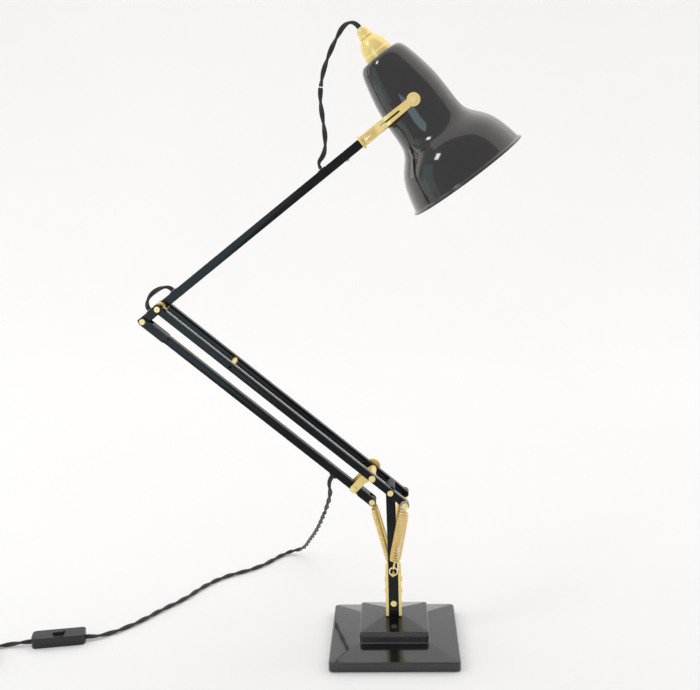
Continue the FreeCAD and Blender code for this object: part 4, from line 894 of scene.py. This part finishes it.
# %% [markdown]
# ## Small parts that keep the solid model's shape
# The other rods, plates and screws already have their final shape. Those that catch the eye only lack a soft
# edge, so each gets a copy whose loose triangles are merged, and a narrow bevel on its sharp edges. Hidden
# and very small parts stay as they are and only get a finish.

# %% Softened copies
SHARP_EDGE = math.radians(35)


def eased(node, material, width):
    """A copy of a solid's mesh with its doubles merged and a bevel on its sharp edges."""
    source = frame["nodes"][node]
    mesh = source.data.copy()
    shell = bmesh.new()
    shell.from_mesh(mesh)
    bmesh.ops.remove_doubles(shell, verts=shell.verts, dist=1e-6)
    bmesh.ops.dissolve_limit(shell, angle_limit=math.radians(1.0), verts=shell.verts, edges=shell.edges)
    shell.to_mesh(mesh)
    shell.free()
    mesh.materials.clear()
    mesh.materials.append(material)
    mesh.polygons.foreach_set("use_smooth", [True] * len(mesh.polygons))
    mesh.set_sharp_from_angle(angle=SHARP_EDGE)
    piece = bpy.data.objects.new(node + "_eased", mesh)
    bpy.context.scene.collection.objects.link(piece)
    bevel = piece.modifiers.new("edge", "BEVEL")
    bevel.width, bevel.segments, bevel.limit_method = width * MM, 2, "ANGLE"
    bevel.angle_limit, bevel.harden_normals = SHARP_EDGE, False
    bevel.use_clamp_overlap = True
    body = next(b for b, members in frame["record"]["behaviour"]["bodies"].items() if node in members)
    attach(piece, body)
    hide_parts(node)
    return piece


EASED = {
    "post_cheeks": (brass, 0.3), "post_block": (arm_finish_painted_shade, 0.4), "rocker_link": (brass, 0.25),
    "fork": (brass, 0.25), "pivot_screws": (brass_bright, 0.3), "arm_spacer": (brass, 0.2),
    "spring_pins": (brass_bright, 0.3), "rocker_bolt": (brass_bright, 0.3), "tension_knob": (brass, 0.3),
    "switch_lower": (black_plastic, 0.6), "switch_upper": (black_plastic, 1.2),
    "switch_rocker": (black_plastic, 0.5),
    "plug_body": (black_plastic, 1.2), "plug_pins": (brass_bright, 0.3), "elbow_sleeves": (brass, 0.3),
    "cheek_rivets": (brass, 0.3),
}
for node, (material, width) in EASED.items():
    eased(node, material, width)
KEPT = {
    "base_weight": iron, "base_pad": dark_rubber, "base_screws": steel, "spindle_bush": brass,
    "spindle": steel,
    "spindle_nut": steel, "rear_spring_anchor": brass_bright, "front_spring_anchors": brass_bright,
    "shoulder_sleeve": iron, "lead_grommet": black_plastic, "fork_screw": brass_bright,
    "cord_bushes": black_plastic, "rear_spring_roller": steel,
}
for node, material in KEPT.items():
    for holder_slot in frame["nodes"][node].material_slots:
        holder_slot.material = material
print("eased", len(EASED), "kept", len(KEPT))

# %% [markdown]
# ## The switch and plug
# The switch and plug are separate pieces threaded on the lead.

GLAND_MOUTH * MM
elbow_out * MM

# %% [markdown]
# ## Studio
# A white table that curves up into a white wall hides the horizon. Glossy black shows its surroundings more
# than itself, so the room matters: one wide light overhead, a pale panel on each side, a small window high on
# the left, and a faint blue-green glow from the front. The room itself is a little brighter behind the lamp
# than in front of it. One lamp alone would be simpler, but the black shapes would then have no outline.

# %% Table, wall and lights
TABLE_FRONT, TABLE_BACK, BEND, WALL_TOP = -0.40, 1.6, 1.2, 4.5
bend = np.linspace(0.05, math.pi / 2, 24)
depth = np.concatenate([np.linspace(TABLE_FRONT, TABLE_BACK, 24), TABLE_BACK + BEND * np.sin(bend),
                        np.full(12, TABLE_BACK + BEND)])
rise = np.concatenate([np.zeros(24), BEND - BEND * np.cos(bend), np.linspace(BEND + 0.1, WALL_TOP, 12)])
across = np.linspace(-5, 5, 30)
sweep_grid = np.stack(np.broadcast_arrays(across, depth[:, None], rise[:, None]), axis=-1) / MM
paper, paper_shader, paper_start = new_finish("white_paper", Roughness=0.9)
feed(paper_shader, Base_Color=noise(paper_start, 2.0, 2.0).mix((0.82, 0.82, 0.82), (0.85, 0.85, 0.85)))
paper_shader.inputs["Emission Color"].default_value = (1.0, 0.99, 0.97, 1)
paper_shader.inputs["Emission Strength"].default_value = 0.06
stage = surface("studio_sweep", sweep_grid, paper, None, sharp=80, wrap=False)
stage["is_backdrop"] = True


def panel(name, at, aim, size, power, colour):
    """A soft rectangular light at a point, turned to face another."""
    light = bpy.data.lights.new(name, "AREA")
    light.shape, light.size, light.size_y, light.energy, light.color = "RECTANGLE", *size, power, colour
    holder = bpy.data.objects.new(name, light)
    z = unit(np.array(at) - np.array(aim))
    x = unit(np.cross(Z, z))
    m = np.eye(4)
    m[:3, 0], m[:3, 1], m[:3, 2], m[:3, 3] = x, np.cross(z, x), z, at
    holder.matrix_world = mathutils.Matrix(m.tolist())
    bpy.context.scene.collection.objects.link(holder)


WARM_WHITE = (1.0, 0.985, 0.96)
panel("overhead", (0, 1.0, 2.6), (0, 0.5, 0), (6.0, 3.6), 42, WARM_WHITE)
panel("window", (-2.2, -1.3, 1.9), (0, 0, 0.5), (0.45, 0.6), 10, (0.92, 0.96, 1.0))
panel("wall_right", (2.6, 0.9, 1.2), (0, 0.4, 0.5), (1.6, 2.2), 9, WARM_WHITE)
panel("wall_left", (-2.6, 1.1, 1.2), (0, 0.4, 0.5), (1.6, 2.2), 9, WARM_WHITE)
panel("green_door", (-1.9, -0.55, 0.45), (0, 0, 0.5), (0.8, 1.1), 1.3, (0.30, 0.75, 0.80))
panel("green_wall", (-0.85, -2.2, 0.15), (-0.2, 0, 0.35), (0.9, 0.9), 4.2, (0.55, 0.86, 1.0))
world = bpy.data.worlds.new("room")
bpy.context.scene.world = world
world.use_nodes = True
sky = Value(world.node_tree, None)
direction = sky.node("ShaderNodeTexCoord", out=0)
split = sky.node("ShaderNodeSeparateXYZ", Vector=direction, out=1)
brighter = (split * 1.6 + 0.15).clamp()
background = world.node_tree.nodes["Background"]
ROOM_FRONT, ROOM_BACK = (0.86, 0.84, 0.83), (0.95, 0.94, 0.925)
world.node_tree.links.new(brighter.mix(ROOM_FRONT, ROOM_BACK).socket, background.inputs["Color"])
background.inputs["Strength"].default_value = 0.76
bpy.context.scene.view_settings.view_transform = "Standard"
print("studio ready")

# %% [markdown]
# ## Did the lamp keep its size?
# The finished pieces replace plain solids, and none of them may make the lamp larger. The box of all visible
# pieces is printed beside the solid model's box.

lamp_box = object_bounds()
for title, box in (("cad", cad_box), ("visual", lamp_box)):
    print(title, [tuple(round(v, 4) for v in corner) for corner in box])
